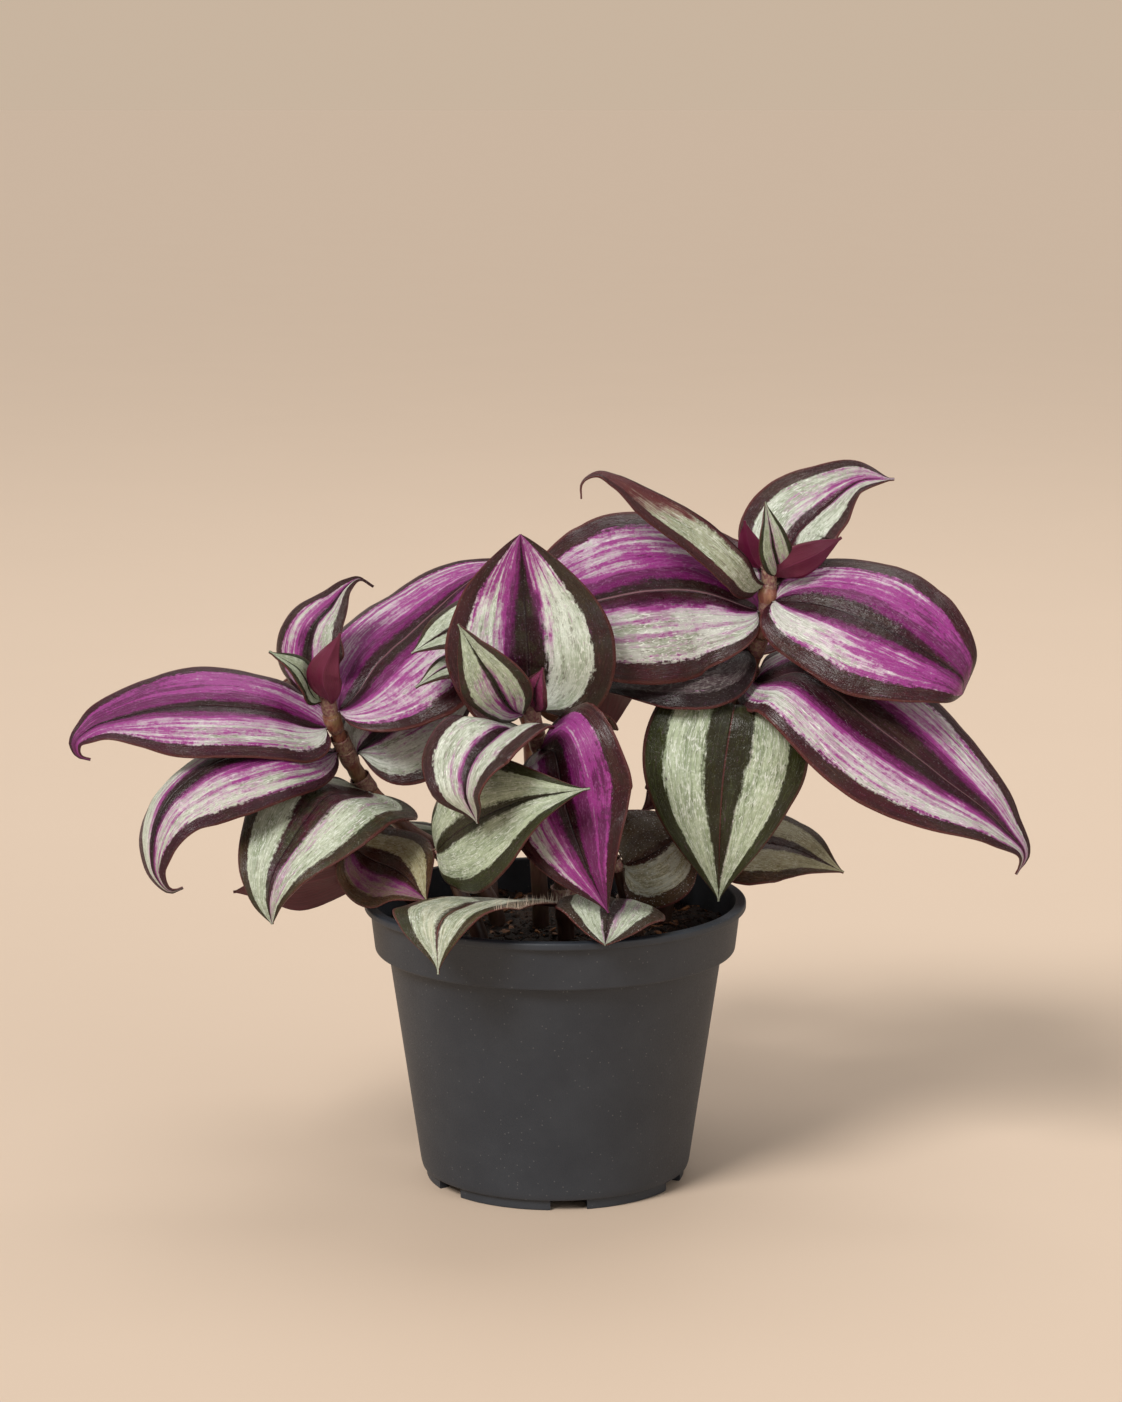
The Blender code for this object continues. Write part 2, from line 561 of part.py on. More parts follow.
def pot_object():
    """The pot: foot ring, tapered body, collar with its lip, and drain holes in the floor."""
    collar_bottom = POT_HEIGHT - COLLAR_HEIGHT
    floor = FOOT_HEIGHT + POT_WALL
    outside = [
        (FOOT_RADIUS - FOOT_WALL, FOOT_HEIGHT),
        (FOOT_RADIUS - FOOT_WALL, 0),
        (FOOT_RADIUS - 0.5, 0),
        (FOOT_RADIUS, 0.5),
        (FOOT_RADIUS, FOOT_HEIGHT),
        (BODY_BOTTOM_RADIUS - 0.9, FOOT_HEIGHT),
        (BODY_BOTTOM_RADIUS - 0.2, FOOT_HEIGHT + 0.8),
        (BODY_BOTTOM_RADIUS + 0.3, FOOT_HEIGHT + 2.4),
        (BODY_TOP_RADIUS, collar_bottom),
        (COLLAR_BOTTOM_RADIUS - 0.9, collar_bottom),
        (COLLAR_BOTTOM_RADIUS - 0.2, collar_bottom + 0.3),
        (COLLAR_BOTTOM_RADIUS, collar_bottom + 1.1),
        (COLLAR_TOP_RADIUS, POT_HEIGHT - LIP_HEIGHT),
        (RIM_RADIUS - 0.4, POT_HEIGHT - LIP_HEIGHT),
        (RIM_RADIUS, POT_HEIGHT - LIP_HEIGHT + 0.5),
        (RIM_RADIUS, POT_HEIGHT - 0.6),
        (RIM_RADIUS - 0.6, POT_HEIGHT),
        (COLLAR_TOP_RADIUS - POT_WALL + 0.4, POT_HEIGHT),
        (COLLAR_TOP_RADIUS - POT_WALL, POT_HEIGHT - 0.5),
        (COLLAR_BOTTOM_RADIUS - POT_WALL, collar_bottom + POT_WALL),
        (BODY_TOP_RADIUS - POT_WALL, collar_bottom + POT_WALL),
        (BODY_BOTTOM_RADIUS + 0.6 - POT_WALL, floor + 1.4),
        (BODY_BOTTOM_RADIUS - 1.0 - POT_WALL, floor),
        (DRAIN_CIRCLE_RADIUS, floor),
        (DRAIN_RADIUS, floor),
        (DRAIN_RADIUS, FOOT_HEIGHT),
        (DRAIN_CIRCLE_RADIUS, FOOT_HEIGHT),
    ]
    material = plain_material("pot", (0.035, 0.038, 0.042), 0.55)
    pot = shape_object("pot", revolved([*outside, outside[0]], POT_SIDES), material)
    notches, drains = bmesh.new(), bmesh.new()
    for k in range(FOOT_COUNT):
        angle = math.radians(FIRST_NOTCH_ANGLE + 360 / FOOT_COUNT * k)
        ahead = Matrix.Rotation(angle, 4, "Z")
        size = Matrix.Diagonal((NOTCH_DEPTH, NOTCH_WIDTH, NOTCH_HEIGHT * 2, 1))
        place = ahead @ Matrix.Translation((FOOT_RADIUS, 0, 0))
        bmesh.ops.create_cube(notches, size=1, matrix=place @ size)
        angle += math.pi / FOOT_COUNT
        x, y = DRAIN_CIRCLE_RADIUS * math.cos(angle), DRAIN_CIRCLE_RADIUS * math.sin(angle)
        add_cylinder(drains, x, y, FOOT_HEIGHT - 1, floor + 1, DRAIN_RADIUS, DRAIN_SIDES)
    cut(pot, "notch_cutter", notches)
    cut(pot, "drain_cutter", drains)
    return pot


def soil_height(x, y):
    """The mix's uneven top."""
    waves = math.sin(x * 0.21 + 1.3) * math.cos(y * 0.17) + 0.6 * math.sin(x * 0.43 - y * 0.37)
    return SOIL_TOP + SOIL_BUMP * waves


def soil_object():
    """The potting mix, filling the pot to below its rim, with a plain hole for each stem."""
    collar_bottom = POT_HEIGHT - COLLAR_HEIGHT
    floor = FOOT_HEIGHT + POT_WALL + GAP
    inner = POT_WALL + GAP
    ledge = collar_bottom + POT_WALL + GAP
    edge = COLLAR_BOTTOM_RADIUS - inner + 0.05
    profile = [
        (0, floor),
        (BODY_BOTTOM_RADIUS - 1.1 - inner, floor),
        (BODY_BOTTOM_RADIUS + 0.5 - inner, floor + 1.4),
        (BODY_TOP_RADIUS - inner, ledge),
        (edge, ledge),
        (edge, SOIL_TOP - 1),
    ]
    profile += [(edge * (1 - i / SOIL_RINGS), SOIL_TOP) for i in range(1, SOIL_RINGS + 1)]
    shape = revolved(profile, SOIL_SIDES)
    for vert in shape.verts:
        if vert.co.z > SOIL_TOP - 2:
            vert.co.z += soil_height(vert.co.x, vert.co.y) - SOIL_TOP
    soil = shape_object("soil", shape, plain_material("soil", (0.035, 0.02, 0.012), 0.9))
    holes = bmesh.new()
    for points in STEMS.values():
        x, y, top = points[0]
        add_cylinder(holes, x, y, top - STEM_DEPTH - 0.5, top + 8, STEM_RADIUS + HOLE_CLEARANCE, HOLE_SIDES)
    cut(soil, "stem_hole_cutter", holes)
    return soil


def main():
    for obj in list(bpy.data.objects):
        bpy.data.objects.remove(obj)
    pot_object()
    soil_object()
    for name in STEMS:
        stem_object(name, [leaf["at"] for leaf in LEAVES.values() if leaf["stem"] == name])
    for name, leaf in LEAVES.items():
        leaf_object(name, leaf)


main()
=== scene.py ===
import math
from types import SimpleNamespace

import bmesh
import bpy
import numpy as np
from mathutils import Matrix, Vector, noise


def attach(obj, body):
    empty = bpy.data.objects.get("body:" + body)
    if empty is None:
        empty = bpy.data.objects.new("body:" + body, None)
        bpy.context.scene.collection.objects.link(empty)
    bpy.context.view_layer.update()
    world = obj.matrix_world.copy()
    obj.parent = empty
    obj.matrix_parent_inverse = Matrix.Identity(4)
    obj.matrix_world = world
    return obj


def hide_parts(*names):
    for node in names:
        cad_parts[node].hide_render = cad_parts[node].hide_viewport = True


# Potted tradescantia: striped leaves on fleshy stems, potting mix and a round nursery pot.
# Lengths are in millimetres and are turned into metres where a mesh is made.
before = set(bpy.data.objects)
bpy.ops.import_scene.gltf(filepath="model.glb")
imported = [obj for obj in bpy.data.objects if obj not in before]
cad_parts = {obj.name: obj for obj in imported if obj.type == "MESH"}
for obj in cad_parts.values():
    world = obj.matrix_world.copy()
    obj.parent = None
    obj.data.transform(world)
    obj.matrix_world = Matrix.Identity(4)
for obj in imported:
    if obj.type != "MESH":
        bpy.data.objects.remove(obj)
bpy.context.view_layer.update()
mm = 0.001


# helpers for shader and geometry trees
class Value:  # a value in a node tree, where arithmetic adds Math nodes
    def __init__(self, socket):
        self.socket, self.tree = socket, socket.id_data

    def __add__(self, other):
        return calc("ADD", self, other)

    def __mul__(self, other):
        return calc("MULTIPLY", self, other)

    def __sub__(self, other):
        return calc("SUBTRACT", self, other)

    def __rsub__(self, other):
        return calc("SUBTRACT", other, self)

    def __truediv__(self, other):
        return calc("DIVIDE", self, other)

    def __rtruediv__(self, other):
        return calc("DIVIDE", other, self)

    def __pow__(self, other):
        return calc("POWER", self, other)

    def __abs__(self):
        return calc("ABSOLUTE", self)

    __radd__ = __add__
    __rmul__ = __mul__


def feed(tree, socket, value):  # a link, or a plain value
    value = value.socket if isinstance(value, Value) else value
    if isinstance(value, bpy.types.NodeSocket):
        tree.links.new(value, socket)
    elif socket.type == "RGBA":
        socket.default_value = (*value, 1)
    else:
        socket.default_value = value


def putNode(tree, kind, sockets=None, **settings):
    node = tree.nodes.new(kind)
    for title, setting in settings.items():
        setattr(node, title, setting)
    for title, value in (sockets or {}).items():
        feed(tree, node.inputs[title], value)
    return node


def calc(operation, *values):
    tree = next(value.tree for value in values if isinstance(value, Value))
    return Value(putNode(tree, "ShaderNodeMath", dict(enumerate(values)), operation=operation).outputs[0])


def ramp(value, low, high, toLow=0.0, toHigh=1.0):  # a smooth step from low to high
    sockets = dict(enumerate((value, low, high, toLow, toHigh)))
    spread = putNode(value.tree, "ShaderNodeMapRange", sockets, interpolation_type="SMOOTHSTEP")
    return Value(spread.outputs[0])


def blendColours(amount, first, second):
    sockets = {0: amount, 6: first, 7: second}
    return putNode(amount.tree, "ShaderNodeMix", sockets, data_type="RGBA", clamp_factor=True).outputs[2]


def grainNoise(place, scale, seed=0.0, detail=3.0, roughness=0.6):
    sockets = {"Vector": place, "Scale": scale, "W": seed, "Detail": detail, "Roughness": roughness}
    return Value(putNode(place.tree, "ShaderNodeTexNoise", sockets, noise_dimensions="4D").outputs["Fac"])


def joinXyz(x, y, z=0.0):
    return Value(putNode(x.tree, "ShaderNodeCombineXYZ", {0: x, 1: y, 2: z}).outputs[0])


def splitXyz(place):
    return [Value(output) for output in putNode(place.tree, "ShaderNodeSeparateXYZ", {0: place}).outputs]


def givenTo(tree):  # the tree's inputs, by their names
    outputs = putNode(tree, "NodeGroupInput").outputs
    return SimpleNamespace(**{output.name: Value(output) for output in outputs if output.name})


def skinGroup(name, **inputs):  # an input is a number, a colour or, where it is None, a vector
    tree = bpy.data.node_groups.new(name, "ShaderNodeTree")
    for title, default in inputs.items():
        kind = "Vector" if default is None else "Color" if isinstance(default, tuple) else "Float"
        socket = tree.interface.new_socket(title, in_out="INPUT", socket_type="NodeSocket" + kind)
        if default is not None:
            socket.default_value = (*default, 1) if kind == "Color" else default
    for title, kind in dict(colour="Color", roughness="Float", height="Float").items():
        tree.interface.new_socket(title, in_out="OUTPUT", socket_type="NodeSocket" + kind)
    return tree, givenTo(tree)


def blankMaterial(name):  # with its shader and the Object coordinates
    material = bpy.data.materials.new(name)
    material.use_nodes = True
    tree = material.node_tree
    surface = Value(putNode(tree, "ShaderNodeTexCoord").outputs["Object"])
    return material, tree.nodes["Principled BSDF"], surface


def coat(shader, colour, roughness, height, strength, distance):
    tree = shader.id_data
    sockets = {"Height": height, "Strength": strength, "Distance": distance * mm}
    bump = putNode(tree, "ShaderNodeBump", sockets)
    feed(tree, shader.inputs["Base Color"], colour)
    feed(tree, shader.inputs["Roughness"], roughness)
    feed(tree, shader.inputs["Normal"], bump.outputs["Normal"])


# helpers for pieces
def addObject(name, data):
    item = bpy.data.objects.new(name, data)
    bpy.context.scene.collection.objects.link(item)
    return item


def addMesh(name, corners, faces, material):
    mesh = bpy.data.meshes.new(name)
    mesh.from_pydata([tuple(c * mm for c in corner) for corner in corners], [], faces)
    mesh.materials.append(material)
    mesh.shade_smooth()
    return addObject(name, mesh)


def bakeModifiers(piece):  # the evaluated shape as a plain mesh, with no modifier left
    graph = bpy.context.evaluated_depsgraph_get()
    evaluated = piece.evaluated_get(graph)
    mesh = bpy.data.meshes.new_from_object(evaluated, preserve_all_data_layers=True, depsgraph=graph)
    mesh.name = piece.name + "_mesh"
    if piece.type == "MESH":
        piece.modifiers.clear()
        piece.data = mesh
        return piece
    name = piece.name
    bpy.data.objects.remove(piece)
    return addObject(name, mesh)


def thicken(piece, wall, **settings):  # an open sheet to a closed wall, equally to both sides
    thick = piece.modifiers.new("thickness", "SOLIDIFY")
    thick.thickness = wall * mm
    thick.offset = 0
    for title, setting in settings.items():
        setattr(thick, title, setting)
    return bakeModifiers(piece)


def bands(rows, columns, closed):  # the faces of a grid of points, row by row
    across = range(columns if closed else columns - 1)
    corners = [[(j, 0), ((j + 1) % columns, 0), ((j + 1) % columns, 1), (j, 1)] for j in across]
    return [tuple((i + up) * columns + j for j, up in corner) for i in range(rows - 1) for corner in corners]


def geometryTree(name, **inputs):  # an input is a number or a vector, or the kind of an input with no default
    tree = bpy.data.node_groups.new(name, "GeometryNodeTree")
    kinds = {int: "Int", float: "Float", tuple: "Vector"}
    for title, default in dict(Geometry="Geometry", **inputs, material="Material").items():
        kind = kinds.get(type(default), default)
        socket = tree.interface.new_socket(title, in_out="INPUT", socket_type="NodeSocket" + kind)
        if kind != default:
            socket.default_value = default
    tree.interface.new_socket("Geometry", in_out="OUTPUT", socket_type="NodeSocketGeometry")
    return tree, givenTo(tree)


def finishTree(tree, geometry, given):  # every geometry tree ends the same way
    real = putNode(tree, "GeometryNodeRealizeInstances", {0: geometry})
    sockets = {"Geometry": real.outputs[0], "Material": given.material}
    paint = putNode(tree, "GeometryNodeSetMaterial", sockets)
    putNode(tree, "NodeGroupOutput", {0: paint.outputs[0]})
    return tree


def applyTree(piece, tree, **values):
    modifier = piece.modifiers.new(tree.name, "NODES")
    modifier.node_group = tree
    for item in tree.interface.items_tree:
        if item.item_type == "SOCKET" and item.in_out == "INPUT" and item.name in values:
            modifier[item.identifier] = values[item.name]
    return bakeModifiers(piece)


# the striped upper side of a leaf, drawn along and across the blade's own UV map
# heartWidth and reach are where the silver starts and ends, as shares of the half blade
# plus and minus name the blade's two halves, and blushShift moves the blush towards the tip
bladeMarks = dict(
    silver=(0.5, 0.53, 0.45), sage=(0.2, 0.25, 0.15), shine=(0.82, 0.86, 0.79), heart=(0.022, 0.007, 0.012),
    edge=(0.05, 0.022, 0.027), rib=(0.012, 0.004, 0.006), blush=(0.25, 0.01, 0.185), lilac=(0.42, 0.14, 0.38),
    heartWidth=0.27, reach=0.74, tipReach=-0.14, bandPlus=1.0, bandMinus=1.0, blushPlus=0.2, blushMinus=0.2,
    blushShift=0.0, fringe=0.5, moss=0.3, mossSide=0.0, sparkle=0.06,
)
# scale along the blade, scale across it, shift of the seed, detail and roughness
bladeGrains = dict(
    wide=(3.0, 7.0, 0.0, 3.0, 0.6), streak=(2.6, 15.0, 7.7, 3.0, 0.6), fine=(10.0, 34.0, 3.1, 4.0, 0.7),
    hair=(22.0, 95.0, 5.7, 2.0, 0.6), blot=(7.0, 3.2, 9.3, 4.0, 0.65), curl=(16.0, 30.0, 21.0, 1.0, 0.4),
    pucker=(16.0, 4.5, 12.5, 3.0, 0.6),
)
bladeTones = dict(
    moss=(0.05, 0.058, 0.026), shade=(0.008, 0.003, 0.004), margin=(0.11, 0.03, 0.028),
    paintedGlint=(0.85, 0.85, 0.85),
)


def stripedBladeGroup():
    tree, given = skinGroup("stripedBlade", bladeUv=None, surface=None, seed=0.0, **bladeMarks)
    along, v, _ = splitXyz(given.bladeUv)
    across = v * 2.0 - 1.0
    out = abs(across)

    def spread(value, amount):  # a 0..1 noise to plus or minus half of amount
        return calc("MULTIPLY_ADD", value, amount, -amount / 2)

    def bySide(plus, minus):
        return calc("GREATER_THAN", across, 0.0) * (plus - minus) + minus

    def grain(alongScale, acrossScale, shift, detail, roughness):
        place = joinXyz(along * alongScale, across * acrossScale)
        return grainNoise(place, 1.0, given.seed + shift, detail, roughness)

    g = SimpleNamespace(**{name: grain(*values) for name, values in bladeGrains.items()})
    cell = grainNoise(given.surface, 950.0, given.seed, 3.0, 0.65)
    # worm-like ridges, where a stretched noise passes through its middle value
    worm = ramp(abs(g.curl - 0.5), 0.004, 0.045, 1.0, 0.0)
    ragged = out + spread(g.wide, 0.13) + spread(g.fine, 0.14) + spread(cell, 0.12)
    # the dark heart narrows to the tip, and the silver bands draw in from the margin there
    inner = given.heartWidth * (1.0 - along**1.6 * 0.72)
    outer = given.reach + along**4.0 * given.tipReach
    fromHeart = ragged - inner
    fromEdge = outer - ragged
    band = ramp(fromHeart, -0.03, 0.035) * ramp(fromEdge, -0.016, 0.02)
    band = band * bySide(given.bandPlus, given.bandMinus)
    # silver: sage patches, dark threads, white fibres, and painted highlights along the worm-like ridges
    patches = g.wide + spread(g.blot, 0.8) + spread(g.streak, 0.5)
    silver = blendColours(ramp(patches, 0.4, 0.64, 0.0, 0.75), given.silver, given.sage)
    silver = blendColours(ramp(g.fine + spread(cell, 0.3), 0.33, 0.49, 0.55, 0.0), silver, given.edge)
    silver = blendColours(worm * ramp(g.blot, 0.35, 0.65, 0.15, 0.75), silver, given.shine)
    silver = blendColours(ramp(g.hair + spread(cell, 0.7), 0.52, 0.7, 0.0, 0.6), silver, given.shine)
    # the blush: strongest against the heart, then long streaks and flecks outwards
    amount = bySide(given.blushPlus, given.blushMinus) + (along - 0.45) * given.blushShift
    away = fromHeart / (outer - inner)
    level = amount * 1.5 + ramp(away, 0.0, 0.3, 0.3, 0.0) - away * 0.32 + 0.05
    level = level + spread(g.streak, 2.2) + spread(g.blot, 1.1) + spread(g.fine, 1.1) + spread(cell, 1.1)
    border = calc("MAXIMUM", ramp(fromHeart, 0.0, 0.11, 1.0, 0.0), ramp(fromEdge, 0.0, 0.07, 1.0, 0.0))
    border = border * given.fringe * ramp(g.blot + spread(cell, 0.5), 0.3, 0.62)
    level = border * 0.6 + level * ramp(amount, -0.05, 0.12)
    banded = blendColours(ramp(level, 0.12, 0.5, 0.0, 0.5), silver, given.lilac)
    banded = blendColours(ramp(level, 0.38, 0.8, 0.0, 0.92), banded, given.blush)
    deepest = level + ramp(away, 0.0, 0.22, 0.35, 0.0)
    banded = blendColours(ramp(deepest, 1.0, 1.35, 0.0, 0.65), banded, given.heart)
    banded = blendColours(worm * ramp(level, 0.3, 0.9, 0.0, 0.22), banded, given.lilac)
    # dark parts: the heart and the margin, streaked and mossy
    dark = blendColours(ramp(out - (inner + outer) * 0.5, -0.05, 0.05), given.heart, given.edge)
    mossy = g.blot + spread(g.fine, 0.3) + across * given.mossSide * 0.12
    dark = blendColours(ramp(mossy, 0.4, 0.66) * given.moss, dark, bladeTones["moss"])
    dark = blendColours(ramp(g.wide + spread(worm, 0.25), 0.3, 0.7, 0.55, 0.0), dark, bladeTones["shade"])
    dark = blendColours(ramp(g.fine + spread(cell, 0.5), 0.6, 0.82, 0.0, 0.3), dark, given.lilac)
    glow = ramp(fromHeart, -0.09, 0.0) * ramp(amount, 0.05, 0.5, 0.0, 0.6) * ramp(fromEdge, 0.0, 0.1)
    dark = blendColours(glow, dark, given.blush)
    colour = blendColours(band, dark, banded)
    # the midrib's fine line, the red line of the margin, and painted glints as small white specks
    colour = blendColours(ramp(out, 0.004, 0.015, 0.85, 0.0), colour, given.rib)
    colour = blendColours(ramp(out, 0.945, 0.985, 0.0, 0.9), colour, bladeTones["margin"])
    speck = grainNoise(given.surface, 2300.0, given.seed + 2.0, 1.0, 0.5)
    colour = blendColours(ramp(speck, 0.63, 0.72) * given.sparkle, colour, bladeTones["paintedGlint"])
    roughness = band * 0.06 + spread(cell, 0.26) + spread(g.streak, 0.2) + 0.31
    height = g.fine * 0.5 + g.hair * 0.4 + cell * 0.5 + worm * ramp(out, 0.02, 0.3, 0.1, 0.35)
    height = height + g.pucker * ramp(out, 0.05, 0.5, 2.4, 1.2) + ramp(out, 0.0, 0.03, -1.2, 0.0)
    putNode(tree, "NodeGroupOutput", dict(colour=colour, roughness=roughness, height=height))
    return tree


# the wine-red underside with its raised veins, and two tones for each kind
undersideTones = {
    "wine": ((0.06, 0.004, 0.012), (0.12, 0.016, 0.03)),
    "magenta": ((0.1, 0.004, 0.026), (0.15, 0.01, 0.06)),
    "tan": ((0.1, 0.04, 0.025), (0.2, 0.1, 0.06)),
}


def undersideGroup():
    wine, pale = undersideTones["wine"]
    tree, given = skinGroup("wineUnderside", bladeUv=None, seed=0.0, wine=wine, pale=pale)
    along, v, _ = splitXyz(given.bladeUv)
    across = v * 2.0 - 1.0
    out = abs(across)
    streak = grainNoise(joinXyz(along * 5.0, across * 30.0), 1.0, given.seed)
    vein = calc("SINE", out * 60.0)
    colour = blendColours(ramp(streak, 0.35, 0.8, 0.0, 0.6), given.wine, given.pale)
    colour = blendColours(ramp(vein, 0.6, 1.0, 0.0, 0.3), colour, given.pale)
    colour = blendColours(ramp(out, 0.0, 0.05, 0.6, 0.0), colour, given.pale)
    height = vein * 0.3 + streak + ramp(out, 0.0, 0.05, 1.0, 0.0)
    putNode(tree, "NodeGroupOutput", dict(colour=colour, roughness=streak * 0.2 + 0.32, height=height))
    return tree


stripedBlade = stripedBladeGroup()
wineUnderside = undersideGroup()

# what differs from bladeMarks in each kind of leaf
bladeFinishes = {
    "silver": dict(silver=(0.5, 0.54, 0.45), heart=(0.022, 0.004, 0.008), edge=(0.055, 0.015, 0.018)),
    "magenta": dict(
        silver=(0.5, 0.51, 0.47), heart=(0.034, 0.002, 0.01), edge=(0.052, 0.006, 0.013), fringe=0.8,
    ),
    "sage": dict(
        silver=(0.44, 0.49, 0.37), heart=(0.042, 0.01, 0.014), edge=(0.062, 0.034, 0.02), moss=0.6,
        fringe=0.25,
    ),
    "green": dict(
        silver=(0.42, 0.49, 0.34), heart=(0.026, 0.026, 0.006), edge=(0.036, 0.045, 0.01), moss=0.9,
        fringe=0.1,
    ),
    "olive": dict(
        silver=(0.34, 0.31, 0.18), heart=(0.06, 0.018, 0.012), edge=(0.095, 0.045, 0.018), moss=0.35,
        sage=(0.17, 0.15, 0.06), shine=(0.6, 0.58, 0.44), fringe=0.1,
    ),
    # painted shade: the striped look darkened all over, for the leaves that lie under and behind the others
    "dark": dict(
        silver=(0.06, 0.04, 0.045), heart=(0.014, 0.004, 0.006), edge=(0.018, 0.007, 0.009), moss=0.1,
        sage=(0.02, 0.015, 0.015), shine=(0.2, 0.18, 0.17), fringe=0.1,
    ),
    "rolled": dict(
        silver=(0.33, 0.36, 0.25), heart=(0.07, 0.016, 0.02), edge=(0.075, 0.02, 0.024), moss=0.2,
        blush=(0.085, 0.01, 0.014), lilac=(0.2, 0.05, 0.06), fringe=0.1,
    ),
    "young": dict(
        silver=(0.17, 0.02, 0.07), heart=(0.07, 0.008, 0.025), edge=(0.1, 0.01, 0.025),
        sage=(0.1, 0.012, 0.04), shine=(0.26, 0.05, 0.12), blush=(0.13, 0.01, 0.05),
        lilac=(0.22, 0.03, 0.1), fringe=0.1,
    ),
}


bladeSkin = dict(specular=0.28, bump=0.7, bumpDepth=0.28)


def bladeMap(shader):
    return putNode(shader.id_data, "ShaderNodeUVMap", uv_map="blade").outputs[0]


def bladeMaterial(name, leaf, seed):
    material, shader, surface = blankMaterial(name + "_face")
    plus, minus = leaf["flush"]
    look = {**bladeFinishes[leaf["finish"]], **{key: leaf[key] for key in bladeMarks if key in leaf}}
    look.update(bladeUv=bladeMap(shader), surface=surface, seed=seed, blushPlus=plus, blushMinus=minus)
    marks = putNode(shader.id_data, "ShaderNodeGroup", look, node_tree=stripedBlade)
    shader.inputs["Specular IOR Level"].default_value = bladeSkin["specular"]
    coat(shader, *marks.outputs, bladeSkin["bump"], bladeSkin["bumpDepth"])
    return material


def undersideMaterial(name, seed):
    material, shader, _ = blankMaterial("leaf_underside_" + name)
    wine, pale = undersideTones[name]
    sockets = dict(bladeUv=bladeMap(shader), seed=seed, wine=wine, pale=pale)
    marks = putNode(shader.id_data, "ShaderNodeGroup", sockets, node_tree=wineUnderside)
    coat(shader, *marks.outputs, 0.3, 0.2)
    return material


# each stem comes out of the potting mix at its first point
stemPaths = {
    "stem_left": [
        (-16, 8, 69), (-24, 7, 84), (-42, 6, 97), (-53, 4, 110), (-58, -3, 122), (-61, -9, 133),
        (-62, -9, 139),
    ],
    "stem_low_left": [(-30, -6, 69), (-44, -6, 83), (-56, -5, 91), (-61, -5, 95)],
    "stem_centre": [(3, -10, 69), (1, -13, 94), (-3, -22, 115), (-5, -31, 130), (-7, -36, 140)],
    "stem_mid": [(-4, 4, 69), (-6, 0, 105), (-8, -8, 132), (-12, -14, 150)],
    "stem_front_left": [(-20, -18, 69), (-26, -16, 84), (-32, -13, 95)],
    "stem_front_right": [(22, -8, 69), (19, -10, 82), (16, -13, 92)],
    "stem_back_left": [(-18, 24, 69), (-24, 41, 95), (-35, 54, 121), (-41, 60, 139)],
    "stem_back_centre": [(5, 26, 69), (6, 42, 100), (6, 53, 130), (4, 60, 150)],
    "stem_back_right": [(28, 22, 69), (42, 38, 98), (48, 50, 125), (51, 55, 142)],
    "stem_right": [(30, 8, 69), (38, 6, 96), (46, 2, 119), (53, -1, 142), (57, -3, 158), (58, -3, 170)],
}

stemShape = dict(depth=24, radius=2.3, tipRadius=1.1, swell=0.7, joint=0.35, steps=120, sides=20)
baseStandoff = 0.65  # from a stem's skin to the root of a blade

# belly is where a blade is widest, taper and round shape its two ends, and stalk is half its foot's width
# fold, curl, clasp and twist are in degrees, and flush is the blush on the blade's two halves
leafDefaults = dict(
    belly=0.38, taper=1.2, stalk=1.5, round=0.65, lobe=3, fold=14, curl=45, clasp=25, twist=(0, 0), wave=0.35,
    waves=2.3, pucker=0.3, finish="silver", flush=(0.2, 0.2),
)

